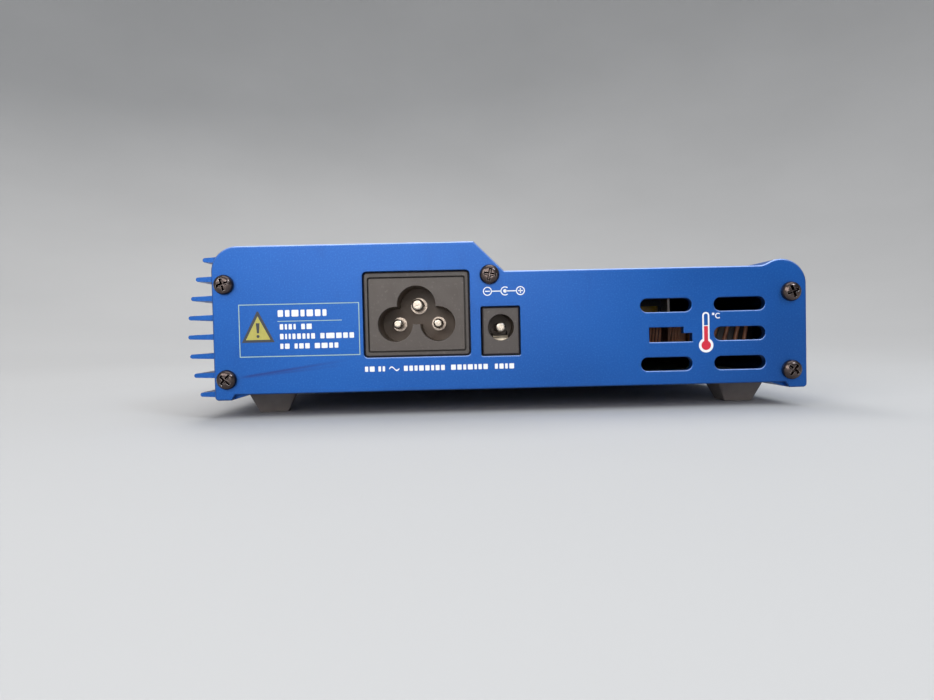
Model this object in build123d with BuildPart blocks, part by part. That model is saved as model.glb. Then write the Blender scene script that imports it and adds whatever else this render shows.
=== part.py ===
"""Compact mains soldering station: the base unit that a handpiece plugs into, without handpiece or leads.

Frame: +Z up with the feet standing on Z = 0, +Y towards the rear panel, the cooling fins on the +X side and
the low tool tray on the -X side. The origin is the middle of the footprint. Sizes are in millimetres.

A point of a cross-section is given as (across, up), seen from behind: across runs from the flat of the fin
side wall towards the tray, and up runs from the case's underside. spot() turns it into plane coordinates.
"""

import os
from collections import namedtuple
from math import atan, cos, degrees, radians, sin

from build123d import *

# ---- Driving dimensions -------------------------------------------------------------------------------------
FOOT_HEIGHT = 5.8
CASE_WIDTH = 142.7  # over the side walls, without fins
TALL_HEIGHT = 35.4  # the power side of the case
LOW_HEIGHT = 28.2  # the tray floor
STEP_ACROSS = 62.8  # where the 45 degree step down to the tray begins
CORNER_RADIUS = 6.0
LIP_RADIUS = 6.0  # the raised lip along the tray's outer edge
LIP_RISE = 1.5
LIP_BLEND = 4.5
SKIRT_DEPTH = 1.3  # the two long skirts that stand below the underside
SKIRT_WIDTH = 4.2
SKIRT_RADIUS = 0.9
SKIRT_RAMP = 4.1  # the gentle ramp from the underside to a skirt's foot
PANEL_RAMP = 0.9  # the end panels have a short step instead
PANEL_INSET = 0.3  # the end panels stop this far short of the fin side wall
WALL = 2.0
CASE_LENGTH = 158.0
REAR_THICK = 2.0
FRONT_THICK = 3.0
HEAD_HEIGHT = 1.7  # screw heads stand this far off the panels
SOCKET_PROUD = 3.3  # the handpiece socket's ring stands this far off the front

FIN_COUNT = 8
FIN_PITCH = 4.62
FIN_LOWEST = 0.1
FIN_REACH = 6.3  # of the longest fin
FIN_ARC_UP = 14.3  # the fin tips lie on an arc about this height
FIN_ARC_RADIUS = 41.0
FIN_ROOT = 1.5
FIN_TIP = 1.0

FIN_SCREW_EDGE = 3.3  # screw centres from the fin side wall
TRAY_SCREW_EDGE = 3.85  # and from the tray's outer wall
SCREW_SPOTS = [
    (FIN_SCREW_EDGE, 26.3),
    (FIN_SCREW_EDGE, 3.7),
    (66.45, 27.4),
    (CASE_WIDTH - TRAY_SCREW_EDGE, 21.8),
    (CASE_WIDTH - TRAY_SCREW_EDGE, 3.0),
]
BOSS_RADIUS = 2.7
SCREW_BORE = 1.1
SCREW_SHANK = 1.05
SCREW_CLEARANCE = 1.45
SCREW_HEAD_RADIUS = 2.37
SCREW_LENGTH = 9.0
RECESS_WIDTH = 0.34  # of the cross recess's arms, as a share of the head's radius
RECESS_REACH = 1.3  # over the cross, the same way
RECESS_DEPTH = 0.8
RECESS_TAPER = 22

BOARD_THICK = 1.6
BOARD_TOP = 8.1  # the main board's component side
BOARD_GAP = 0.1

# ---- Positions that follow ----------------------------------------------------------------------------------
OVERALL_WIDTH = CASE_WIDTH + FIN_REACH
FIN_WALL = OVERALL_WIDTH / 2 - FIN_REACH  # X of the fin side wall
OVERALL_LENGTH = HEAD_HEIGHT + REAR_THICK + CASE_LENGTH + FRONT_THICK + SOCKET_PROUD
REAR_FACE = OVERALL_LENGTH / 2 - HEAD_HEIGHT
CASE_REAR = REAR_FACE - REAR_THICK
CASE_FRONT = CASE_REAR - CASE_LENGTH
FRONT_FACE = CASE_FRONT - FRONT_THICK

os.makedirs("parts", exist_ok=True)


def spot(across, up):
    """Plane coordinates of a cross-section point."""
    return (across - FIN_WALL, up + FOOT_HEIGHT)


def rear_plane(y):
    """The cross-section plane at y, seen from behind: its normal is +Y and its x runs towards the tray."""
    return Plane(origin=(0, y, 0), x_dir=(-1, 0, 0), z_dir=(0, 1, 0))


def place(across, y, up):
    """A point in the part's frame."""
    return (FIN_WALL - across, y, up + FOOT_HEIGHT)


def block(low, high, mode=Mode.ADD):
    """A box between two (across, y, up) corners, for use inside a BuildPart."""
    a, b = place(*low), place(*high)
    centre = tuple((p + q) / 2 for p, q in zip(a, b))
    sizes = [abs(p - q) for p, q in zip(a, b)]
    with Locations(centre):
        return Box(*sizes, mode=mode)


def inside(distance):
    """Y of a point inside the case, this far in front of the rear panel."""
    return CASE_REAR - distance


def finish(name, builder):
    """Labels a finished piece and writes it."""
    builder.part.label = name
    export_step(builder.part, f"parts/{name}.step")


# ---- Case ---------------------------------------------------------------------------------------------------
def nearest(vertices, point):
    """The vertex closest to a plane point."""
    return min(vertices, key=lambda v: (v.X - point[0]) ** 2 + (v.Y - point[1]) ** 2)


def case_section(ramp, skirt_depth=SKIRT_DEPTH, start=0.0):
    """The outer cross-section, from start onwards. The ramp is how long the slope to a skirt's foot is."""
    lip_across = CASE_WIDTH - LIP_RADIUS
    lip_up = LOW_HEIGHT + LIP_RISE - LIP_RADIUS
    lip_foot = lip_across - (LIP_RADIUS**2 - (LOW_HEIGHT - lip_up) ** 2) ** 0.5
    step_fall = TALL_HEIGHT - LOW_HEIGHT
    with BuildSketch() as section:
        with BuildLine():
            Polyline(
                spot(start, -skirt_depth),
                spot(start, TALL_HEIGHT),
                spot(STEP_ACROSS, TALL_HEIGHT),
                spot(STEP_ACROSS + step_fall, LOW_HEIGHT),
                spot(lip_across, LOW_HEIGHT),
                spot(lip_across, lip_up),
                spot(CASE_WIDTH, lip_up),
                spot(CASE_WIDTH, -skirt_depth),
                spot(CASE_WIDTH - SKIRT_WIDTH, -skirt_depth),
                spot(CASE_WIDTH - SKIRT_WIDTH - ramp, 0),
                spot(SKIRT_WIDTH + ramp, 0),
                spot(SKIRT_WIDTH, -skirt_depth),
                close=True,
            )
        make_face()
        fillet(nearest(section.vertices(), spot(start, TALL_HEIGHT)), CORNER_RADIUS)
        with Locations(spot(lip_across, lip_up)):
            Circle(LIP_RADIUS)
        fillet(nearest(section.vertices(), spot(lip_foot, LOW_HEIGHT)), LIP_BLEND)
        for across in (start, CASE_WIDTH):
            fillet(nearest(section.vertices(), spot(across, -skirt_depth)), SKIRT_RADIUS)
    return section.sketch


CASE_OUTLINE = case_section(SKIRT_RAMP)
PANEL_OUTLINE = case_section(PANEL_RAMP, start=PANEL_INSET)
FLAT_OUTLINE = case_section(SKIRT_RAMP, 0.001)  # without skirts, as the inside of the case has none


def fin_reach(up):
    """How far the fin at this height stands off the wall."""
    return FIN_REACH - (up - FIN_ARC_UP) ** 2 / (2 * FIN_ARC_RADIUS)


def make_case():
    """The extruded aluminium case: tray, step, fins, screw ports and board rails in one profile."""
    fin_root = WALL - 0.4
    rail = 2.4
    rail_thick = 1.0
    low_rail = BOARD_TOP - BOARD_THICK - BOARD_GAP - rail_thick / 2
    high_rail = BOARD_TOP + BOARD_GAP + rail_thick / 2
    screw_spots = [spot(*s) for s in SCREW_SPOTS]
    with BuildSketch() as hollow:
        add(FLAT_OUTLINE)
        offset(amount=-WALL, mode=Mode.REPLACE)
    with BuildPart() as case:
        with BuildSketch(rear_plane(CASE_FRONT)):
            add(CASE_OUTLINE)
            add(hollow.sketch, mode=Mode.SUBTRACT)
            for i in range(FIN_COUNT):
                up = FIN_LOWEST + i * FIN_PITCH
                tip = -fin_reach(up)
                with BuildLine():
                    Polyline(
                        spot(fin_root, up - FIN_ROOT / 2),
                        spot(tip + 0.3, up - FIN_TIP / 2),
                        spot(tip, up - FIN_TIP / 5),
                        spot(tip, up + FIN_TIP / 5),
                        spot(tip + 0.3, up + FIN_TIP / 2),
                        spot(fin_root, up + FIN_ROOT / 2),
                        close=True,
                    )
                make_face()
            with Locations(*screw_spots):
                Circle(BOSS_RADIUS)
            for across in (WALL + rail / 2, CASE_WIDTH - WALL - rail / 2):
                with Locations(spot(across, low_rail), spot(across, high_rail)):
                    Rectangle(rail, rail_thick)
            with Locations(*screw_spots):
                Circle(SCREW_BORE, mode=Mode.SUBTRACT)
        extrude(amount=CASE_LENGTH)
    finish("case_profile", case)


# ---- Rear panel ---------------------------------------------------------------------------------------------
INLET_ACROSS = 48.85
INLET_UP = 18.4
INLET_CUT = (25.6, 20.5)
JACK_ACROSS = 69.0
JACK_CUT_SPOT = (68.9, 13.85)
JACK_CUT = (9.4, 11.85)
VENT_ROWS = (5.0, 12.05, 19.15)
VENT_COLUMNS = (108.75, 126.5)
VENT_LENGTH = 12.4
VENT_HEIGHT = 3.25
NOTCHED_VENT_ENDS = (104.65, 112.9, 115.0)  # square end, notch and far end of the odd slot
NOTCHED_VENT_UPS = (10.3, 12.3, 13.8)  # its lower edge, the notch's floor and its upper edge


def panel_blank(y, thick, chamfered):
    """A flat end panel with the case's outline, its outer edge eased, for use inside a BuildPart."""
    with BuildSketch(rear_plane(y)) as outline:
        add(PANEL_OUTLINE)
    extrude(outline.sketch, amount=thick)
    chamfer(faces().filter_by(Axis.Y).sort_by(Axis.Y)[chamfered].edges(), 0.2)


def make_rear_panel():
    """The rear plate, with cut-outs for the two inlets and six cooling slots."""
    with BuildPart() as panel:
        panel_blank(CASE_REAR, REAR_THICK, -1)
        with BuildSketch(rear_plane(CASE_REAR)):
            with Locations(spot(INLET_ACROSS, INLET_UP)):
                RectangleRounded(*INLET_CUT, 1.0)
            with Locations(spot(*JACK_CUT_SPOT)):
                RectangleRounded(*JACK_CUT, 0.4)
            for across in VENT_COLUMNS:
                for up in VENT_ROWS:
                    if (across, up) != (VENT_COLUMNS[0], VENT_ROWS[1]):
                        with Locations(spot(across, up)):
                            SlotOverall(VENT_LENGTH, VENT_HEIGHT)
            square_end, notch, far_end = NOTCHED_VENT_ENDS
            low, notch_floor, high = NOTCHED_VENT_UPS
            with BuildLine():
                Polyline(
                    spot(square_end, low),
                    spot(square_end, high),
                    spot(notch, high),
                    spot(notch, notch_floor),
                    spot(far_end, notch_floor),
                    spot(far_end, low),
                    close=True,
                )
            make_face()
            with Locations(*[spot(*s) for s in SCREW_SPOTS]):
                Circle(SCREW_CLEARANCE)
        extrude(amount=REAR_THICK, mode=Mode.SUBTRACT)
        rim = panel.faces().filter_by(Axis.Y).sort_by(Axis.Y)[-1]
        chamfer(rim.inner_wires().edges(), 0.12)
    finish("rear_panel", panel)


# ---- Screws -------------------------------------------------------------------------------------------------
def pan_screw(length, head=SCREW_HEAD_RADIUS, shank=SCREW_SHANK, tall=HEAD_HEIGHT):
    """A cross-recess pan-head screw along Z: the head stands on Z = 0 and the shank runs down."""
    with BuildPart() as screw:
        with BuildSketch(Plane.XZ):
            with BuildLine():
                Line((0, tall), (head * 0.45, tall))
                TangentArc((head * 0.45, tall), (head, tall * 0.35), tangent=(1, 0))
                Polyline((head, tall * 0.35), (head, 0), (shank, 0), (shank, -length + 0.6))
                Polyline((shank, -length + 0.6), (shank * 0.4, -length), (0, -length), (0, tall))
            make_face()
        revolve(axis=Axis.Z)
        with BuildSketch(Plane.XY.offset(tall)):
            for turn in (0, 90):
                Rectangle(head * RECESS_REACH, head * RECESS_WIDTH, rotation=turn)
        extrude(amount=-RECESS_DEPTH * head / SCREW_HEAD_RADIUS, taper=RECESS_TAPER, mode=Mode.SUBTRACT)
    return screw.part


def make_screws():
    """The five screws of each end panel, each group with its own turn of the recesses."""
    screw = pan_screw(SCREW_LENGTH)
    for name, y, tilt in (("rear_screws", REAR_FACE, -90), ("front_screws", FRONT_FACE, 90)):
        with BuildPart() as screws:
            for i, (across, up) in enumerate(SCREW_SPOTS):
                with Locations(Location(place(across, y, up), (tilt, 0, 0))):
                    add(screw, rotation=(0, 0, 17 + 31 * i))
        finish(name, screws)


# ---- Mains inlet --------------------------------------------------------------------------------------------
INLET_FACE = REAR_FACE - 0.6
INLET_DEPTH = 24.0
INLET_GAP = 0.2  # between the inlet and its cut-out
INLET_FLANGE = (27.2, 29.4)  # width and top of the block behind the panel
GROOVE_UP = 18.32
GROOVE_OUTER = (23.5, 18.05)
GROOVE_WIDTH = 0.37
GROOVE_DEPTH = 1.2
CLOVER_LEAVES = [((43.65, 16.0), 4.2), ((53.85, 16.0), 4.2), ((48.75, 20.55), 4.65)]  # centres and radii
CLOVER_DEPTH = 13.0
POWER_PIN_SPOTS = [(43.85, 16.1), (53.85, 16.1)]
POWER_PIN_RADIUS = 1.2
POWER_COLLAR_RADIUS = 1.8
EARTH_PIN_SPOTS = [(48.85, 20.7)]
EARTH_PIN_RADIUS = 1.5
EARTH_COLLAR_RADIUS = 2.1
PIN_SHORT = 4.2  # the pin tips stay this far inside the mouth
PIN_NOSE = 0.6
COLLAR_THICK = 0.7
TAIL_LENGTH = 2.0  # the pins' solder tails behind the inlet
TAIL_THICK = 1.2
INLET_PINS = [
    ("inlet_power_pins", POWER_PIN_SPOTS, POWER_PIN_RADIUS, POWER_COLLAR_RADIUS),
    ("inlet_earth_pin", EARTH_PIN_SPOTS, EARTH_PIN_RADIUS, EARTH_COLLAR_RADIUS),
]


def make_inlet_body():
    """The inlet's moulding: a face with a groove round it and a cloverleaf mouth, on a block behind the panel."""
    back = INLET_FACE - INLET_DEPTH
    half_flange = INLET_FLANGE[0] / 2
    with BuildPart() as body:
        with BuildSketch(rear_plane(INLET_FACE)):
            with Locations(spot(INLET_ACROSS, INLET_UP)):
                RectangleRounded(INLET_CUT[0] - 2 * INLET_GAP, INLET_CUT[1] - 2 * INLET_GAP, 0.8)
        extrude(amount=-INLET_DEPTH)
        chamfer(body.faces().sort_by(Axis.Y)[-1].edges(), 0.25)
        block(
            (INLET_ACROSS - half_flange, back, BOARD_TOP),
            (INLET_ACROSS + half_flange, CASE_REAR - 0.2, INLET_FLANGE[1]),
        )
        with BuildSketch(rear_plane(INLET_FACE)):
            with Locations(spot(INLET_ACROSS, GROOVE_UP)):
                RectangleRounded(*GROOVE_OUTER, 0.6)
                RectangleRounded(*[side - 2 * GROOVE_WIDTH for side in GROOVE_OUTER], 0.4, mode=Mode.SUBTRACT)
        extrude(amount=-GROOVE_DEPTH, mode=Mode.SUBTRACT)
        with BuildSketch(rear_plane(INLET_FACE)):
            for centre, radius in CLOVER_LEAVES:
                with Locations(spot(*centre)):
                    Circle(radius)
        extrude(amount=-CLOVER_DEPTH, mode=Mode.SUBTRACT)
        with BuildSketch(rear_plane(INLET_FACE - CLOVER_DEPTH)):
            for _, spots, radius, _ in INLET_PINS:
                with Locations(*[spot(*at) for at in spots]):
                    Circle(radius)
        extrude(amount=-INLET_DEPTH, mode=Mode.SUBTRACT)
    finish("inlet_body", body)


def make_inlet_pins():
    """The round pins, each with a collar on the cloverleaf's floor and a tail down to the board."""
    back = INLET_FACE - INLET_DEPTH
    for name, spots, radius, collar_radius in INLET_PINS:
        plane_spots = [spot(*at) for at in spots]
        with BuildPart() as pins:
            with BuildSketch(rear_plane(INLET_FACE - PIN_SHORT)):
                with Locations(*plane_spots):
                    Circle(radius)
            extrude(amount=-(INLET_DEPTH - PIN_SHORT + TAIL_LENGTH))
            fillet(pins.faces().group_by(Axis.Y)[-1].edges(), PIN_NOSE)
            with BuildSketch(rear_plane(INLET_FACE - CLOVER_DEPTH)):
                with Locations(*plane_spots):
                    Circle(collar_radius)
            extrude(amount=COLLAR_THICK)
            for across, up in spots:
                block(
                    (across - TAIL_THICK / 2, back - TAIL_LENGTH, BOARD_TOP),
                    (across + TAIL_THICK / 2, back - TAIL_LENGTH + TAIL_THICK, up),
                )
        finish(name, pins)


# ---- Low-voltage jack ---------------------------------------------------------------------------------------
JACK_FACE = REAR_FACE - 0.7
JACK_SIZE = (9.0, 14.2, 11.55)
JACK_BORE = 3.15
JACK_BORE_UP = 14.75
JACK_BORE_DEPTH = 9.5
JACK_PIN_RADIUS = 1.25
JACK_PIN_SHORT = 0.8
JACK_STEM_RADIUS = 1.0  # the pin is thinner where it passes through the body
JACK_STEM_PROUD = 1.2
JACK_BUSH_RADIUS = 2.2  # the plastic round the stem
LEAF_WIDTH = 3.8
LEAF_DROP = 0.5  # the leaf lies this far below the bore
LEAF_SLOT_GAP = 0.2


def make_jack_body():
    """The barrel jack's moulding, with the bore and the slot under it for the leaf."""
    wide, deep, tall = JACK_SIZE
    half_slot = LEAF_WIDTH / 2 + LEAF_SLOT_GAP
    centre = spot(JACK_ACROSS, JACK_BORE_UP)
    with BuildPart() as body:
        block(
            (JACK_ACROSS - wide / 2, JACK_FACE - deep, BOARD_TOP),
            (JACK_ACROSS + wide / 2, JACK_FACE, BOARD_TOP + tall),
        )
        chamfer(body.faces().sort_by(Axis.Y)[-1].edges(), 0.35)
        with BuildSketch(rear_plane(JACK_FACE)):
            with Locations(centre):
                Circle(JACK_BORE)
        extrude(amount=-JACK_BORE_DEPTH, mode=Mode.SUBTRACT)
        block(
            (JACK_ACROSS - half_slot, JACK_FACE - 12.0, JACK_BORE_UP - JACK_BORE - 0.9),
            (JACK_ACROSS + half_slot, JACK_FACE - 1.6, JACK_BORE_UP),
            Mode.SUBTRACT,
        )
        with BuildSketch(rear_plane(JACK_FACE - JACK_BORE_DEPTH)):
            with Locations(centre):
                Circle(JACK_BUSH_RADIUS)
        extrude(amount=JACK_BORE_DEPTH - deep)
        with BuildSketch(rear_plane(JACK_FACE)):
            with Locations(centre):
                Circle(JACK_STEM_RADIUS)
        extrude(amount=-deep, mode=Mode.SUBTRACT)
    finish("jack_body", body)


def make_jack_contacts():
    """The jack's centre pin, and the leaf that touches a plug's barrel."""
    deep = JACK_SIZE[1]
    centre = spot(JACK_ACROSS, JACK_BORE_UP)
    with BuildPart() as pin:
        with BuildSketch(rear_plane(JACK_FACE - JACK_PIN_SHORT)):
            with Locations(centre):
                Circle(JACK_PIN_RADIUS)
        extrude(amount=JACK_PIN_SHORT - JACK_BORE_DEPTH)
        fillet(pin.faces().sort_by(Axis.Y)[-1].edges(), 0.6)
        with BuildSketch(rear_plane(JACK_FACE - JACK_BORE_DEPTH)):
            with Locations(centre):
                Circle(JACK_STEM_RADIUS)
        extrude(amount=JACK_BORE_DEPTH - deep - JACK_STEM_PROUD)
    finish("jack_pin", pin)

    low = JACK_BORE_UP - JACK_BORE - LEAF_DROP
    half = LEAF_WIDTH / 2
    with BuildPart() as leaf:
        block((JACK_ACROSS - half, JACK_FACE - 9.3, low), (JACK_ACROSS + half, JACK_FACE - 1.8, low + 0.4))
        block((JACK_ACROSS - half, JACK_FACE - 6.0, low), (JACK_ACROSS + half, JACK_FACE - 3.0, low + 0.8))
    finish("jack_leaf", leaf)


# ---- Feet ---------------------------------------------------------------------------------------------------
FOOT_SIZE = 12.7
FOOT_TOE = 7.0
FOOT_CORNER = 1.4
FOOT_SIDE = 11.2  # foot centres from the side walls
FOOT_INSET = 15.6  # foot centres from the ends of the case
FEET = {  # across, Y and turn: the rear foot on the fin side is stuck on a little askew
    "foot_rear_fin": (10.1, CASE_REAR - FOOT_INSET, 9.0),
    "foot_rear_tray": (CASE_WIDTH - FOOT_SIDE, CASE_REAR - FOOT_INSET, 0.0),
    "foot_front_fin": (FOOT_SIDE, CASE_FRONT + FOOT_INSET, 0.0),
    "foot_front_tray": (CASE_WIDTH - FOOT_SIDE, CASE_FRONT + FOOT_INSET, 0.0),
}


def make_feet():
    """Four tapered square bumpers stuck under the case. Soft, they bed down over the skirts' ramps."""
    taper = degrees(atan((FOOT_SIZE - FOOT_TOE) / 2 / FOOT_HEIGHT))
    for name, (across, y, turn) in FEET.items():
        with BuildPart() as foot:
            with BuildSketch(Plane(place(across, y, 0))):
                RectangleRounded(FOOT_SIZE, FOOT_SIZE, FOOT_CORNER, rotation=turn)
            extrude(amount=-FOOT_HEIGHT, taper=taper)
            fillet(foot.faces().sort_by(Axis.Z)[0].edges(), 0.5)
            with BuildSketch(rear_plane(y - FOOT_SIZE)):
                add(CASE_OUTLINE)
            extrude(amount=2 * FOOT_SIZE, mode=Mode.SUBTRACT)
        finish(name, foot)


# ---- Front panel, overlay and display -----------------------------------------------------------------------
OVERLAY_THICK = 1.0
OVERLAY_START = 9.0
OVERLAY_STEP = 57.4  # where its 45 degree step down begins
OVERLAY_END = 109.0
OVERLAY_LOW = 3.4
OVERLAY_HIGH = 31.8
OVERLAY_MID = 23.0
DISPLAY_SIZE = (44.0, 23.4)
DISPLAY_CENTRE = (34.2, 17.4)
DISPLAY_THICK = 2.6
DISPLAY_GAP = 0.2
LIGHT_BOX_SIZE = (38.0, 17.0)
KEY_RADIUS = 3.4
KEY_GAP = 0.2
KEY_PROUD = 1.0
KEY_TRAVEL = 0.5
KEY_FLANGE = 4.3
FLANGE_THICK = 0.8
PLUNGER_RADIUS = 1.7
PLUNGER_PROUD = 1.2
SWITCH_SIZE = 6.0
SWITCH_TALL = 3.8
KEY_SEAT = CASE_FRONT + 0.1 + FLANGE_THICK  # Y of the key's inner end
SWITCH_FACE = KEY_SEAT + PLUNGER_PROUD
CONTROL_FACE = SWITCH_FACE + SWITCH_TALL
KEY_COLUMNS = (76.0, 88.0, 100.0)
KEY_ROWS = (8.4, 18.2)
KEYS = {
    "preset_1": (KEY_COLUMNS[2], KEY_ROWS[0]),
    "preset_2": (KEY_COLUMNS[1], KEY_ROWS[0]),
    "preset_3": (KEY_COLUMNS[0], KEY_ROWS[0]),
    "power": (KEY_COLUMNS[2], KEY_ROWS[1]),
    "minus": (KEY_COLUMNS[1], KEY_ROWS[1]),
    "plus": (KEY_COLUMNS[0], KEY_ROWS[1]),
}
SOCKET_ACROSS = 124.5
SOCKET_UP = 14.1
SOCKET_BARREL = 7.9


def overlay_section(gap=0.0):
    """The stepped outline of the glossy overlay, shrunk by a gap."""
    with BuildSketch() as section:
        with BuildLine():
            Polyline(
                spot(OVERLAY_START, OVERLAY_LOW),
                spot(OVERLAY_START, OVERLAY_HIGH),
                spot(OVERLAY_STEP, OVERLAY_HIGH),
                spot(OVERLAY_STEP + OVERLAY_HIGH - OVERLAY_MID, OVERLAY_MID),
                spot(OVERLAY_END, OVERLAY_MID),
                spot(OVERLAY_END, OVERLAY_LOW),
                close=True,
            )
        make_face()
        fillet(section.vertices(), 2.0)
        offset(amount=-gap, mode=Mode.REPLACE)
    return section.sketch


def make_front_panel():
    """The front plate, recessed for the overlay, the overlay itself and the display behind it."""
    key_spots = [spot(*at) for at in KEYS.values()]
    recess = overlay_section()
    inlay = overlay_section(0.1)
    with BuildPart() as panel:
        panel_blank(FRONT_FACE, FRONT_THICK, 0)
        with BuildSketch(rear_plane(FRONT_FACE)):
            add(recess)
        extrude(amount=OVERLAY_THICK, mode=Mode.SUBTRACT)
        with BuildSketch(rear_plane(FRONT_FACE)):
            with Locations(spot(*DISPLAY_CENTRE)):
                Rectangle(DISPLAY_SIZE[0] + 2 * DISPLAY_GAP, DISPLAY_SIZE[1] + 2 * DISPLAY_GAP)
            with Locations(*key_spots):
                Circle(KEY_RADIUS + KEY_GAP)
            with Locations(spot(SOCKET_ACROSS, SOCKET_UP)):
                Circle(SOCKET_BARREL + 0.1)
            with Locations(*[spot(*s) for s in SCREW_SPOTS]):
                Circle(SCREW_CLEARANCE)
        extrude(amount=FRONT_THICK, mode=Mode.SUBTRACT)
    finish("front_panel", panel)

    with BuildPart() as overlay:
        with BuildSketch(rear_plane(FRONT_FACE)):
            add(inlay)
            with Locations(*key_spots):
                Circle(KEY_RADIUS + KEY_GAP, mode=Mode.SUBTRACT)
        extrude(amount=OVERLAY_THICK)
        chamfer(overlay.faces().filter_by(Axis.Y).sort_by(Axis.Y)[0].edges(), 0.15)
    finish("front_overlay", overlay)

    glass = FRONT_FACE + OVERLAY_THICK
    with BuildPart() as display:
        with BuildSketch(rear_plane(glass)):
            with Locations(spot(*DISPLAY_CENTRE)):
                Rectangle(*DISPLAY_SIZE)
        extrude(amount=DISPLAY_THICK)
        with BuildSketch(rear_plane(glass + DISPLAY_THICK)):
            with Locations(spot(*DISPLAY_CENTRE)):
                Rectangle(*LIGHT_BOX_SIZE)
        extrude(amount=CONTROL_FACE - glass - DISPLAY_THICK)
    finish("display_module", display)


# ---- Keys, switches and control board -----------------------------------------------------------------------
def make_keys():
    """Six round keys, each with the switch plunger that it pushes, and the switch bodies."""
    for name, at in KEYS.items():
        with BuildPart() as key:
            with BuildSketch(rear_plane(FRONT_FACE - KEY_PROUD)):
                with Locations(spot(*at)):
                    Circle(KEY_RADIUS)
            extrude(amount=KEY_SEAT - (FRONT_FACE - KEY_PROUD))
            fillet(key.faces().sort_by(Axis.Y)[0].edges(), 0.5)
            with BuildSketch(rear_plane(KEY_SEAT - FLANGE_THICK)):
                with Locations(spot(*at)):
                    Circle(KEY_FLANGE)
            extrude(amount=FLANGE_THICK)
        finish(f"key_{name}", key)

        with BuildPart() as plunger:
            with BuildSketch(rear_plane(KEY_SEAT)):
                with Locations(spot(*at)):
                    Circle(PLUNGER_RADIUS)
            extrude(amount=PLUNGER_PROUD + 0.6)
            with BuildSketch(rear_plane(SWITCH_FACE + 0.6)):
                with Locations(spot(*at)):
                    Circle(PLUNGER_RADIUS + 0.5)
            extrude(amount=0.6)
        finish(f"plunger_{name}", plunger)

    with BuildPart() as switches:
        with BuildSketch(rear_plane(SWITCH_FACE)):
            with Locations(*[spot(*at) for at in KEYS.values()]):
                RectangleRounded(SWITCH_SIZE, SWITCH_SIZE, 0.4)
        extrude(amount=SWITCH_TALL)
        with BuildSketch(rear_plane(SWITCH_FACE)):
            with Locations(*[spot(*at) for at in KEYS.values()]):
                Circle(PLUNGER_RADIUS + 0.1)
        extrude(amount=0.6, mode=Mode.SUBTRACT)
        with BuildSketch(rear_plane(SWITCH_FACE + 0.5)):
            with Locations(*[spot(*at) for at in KEYS.values()]):
                Circle(PLUNGER_RADIUS + 0.6)
        extrude(amount=0.8 + KEY_TRAVEL, mode=Mode.SUBTRACT)
    finish("switch_bodies", switches)


POST_SPOTS = [(9.5, 21.8), (60.5, 5.6), (68.2, 21.0), (107.0, 13.3)]
POST_RADIUS = 2.4
CONTROL_BOARD = ((7.2, 3.0), (110.5, 24.3))


def make_control_board():
    """The upright board behind the front plate, its posts and its screws."""
    (left, low), (right, high) = CONTROL_BOARD
    spots = [spot(*at) for at in POST_SPOTS]
    with BuildPart() as board:
        block((left, CONTROL_FACE, low), (right, CONTROL_FACE + BOARD_THICK, high))
        with BuildSketch(rear_plane(CONTROL_FACE)):
            with Locations(*spots):
                Circle(1.1)
        extrude(amount=BOARD_THICK, mode=Mode.SUBTRACT)
    finish("control_board", board)

    with BuildPart() as posts:
        with BuildSketch(rear_plane(CASE_FRONT)):
            with Locations(*spots):
                Circle(POST_RADIUS)
                Circle(0.9, mode=Mode.SUBTRACT)
        extrude(amount=CONTROL_FACE - CASE_FRONT)
    finish("control_board_posts", posts)

    with BuildPart() as screws:
        for at in POST_SPOTS:
            with Locations(Location(place(at[0], CONTROL_FACE + BOARD_THICK, at[1]), (-90, 0, 0))):
                add(pan_screw(5, head=1.9, shank=0.85, tall=1.3))
    finish("control_board_screws", screws)


# ---- Handpiece socket ---------------------------------------------------------------------------------------
SOCKET_FRONT = FRONT_FACE - SOCKET_PROUD
SOCKET_FLANGE = 9.4
SOCKET_BORE = 6.2
SOCKET_BORE_DEPTH = 8.0
SOCKET_SEAT = 5.8  # the insert's seat behind the bore
SOCKET_LENGTH = 20.0
INSERT_RADIUS = 5.75
CONTACT_CIRCLE = 3.7
CONTACT_RADIUS = 0.9
CONTACT_COUNT = 5
TAIL_PROUD = 2.0  # the contacts' solder tails behind the socket
NUT_ACROSS_FLATS = 19.0


def contact_spots():
    """Where the socket's contacts sit: evenly round a circle, one of them at the top."""
    turns = [radians(90 + 360 / CONTACT_COUNT * i) for i in range(CONTACT_COUNT)]
    return [
        (SOCKET_ACROSS + CONTACT_CIRCLE * cos(turn), SOCKET_UP + CONTACT_CIRCLE * sin(turn))
        for turn in turns
    ]


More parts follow.
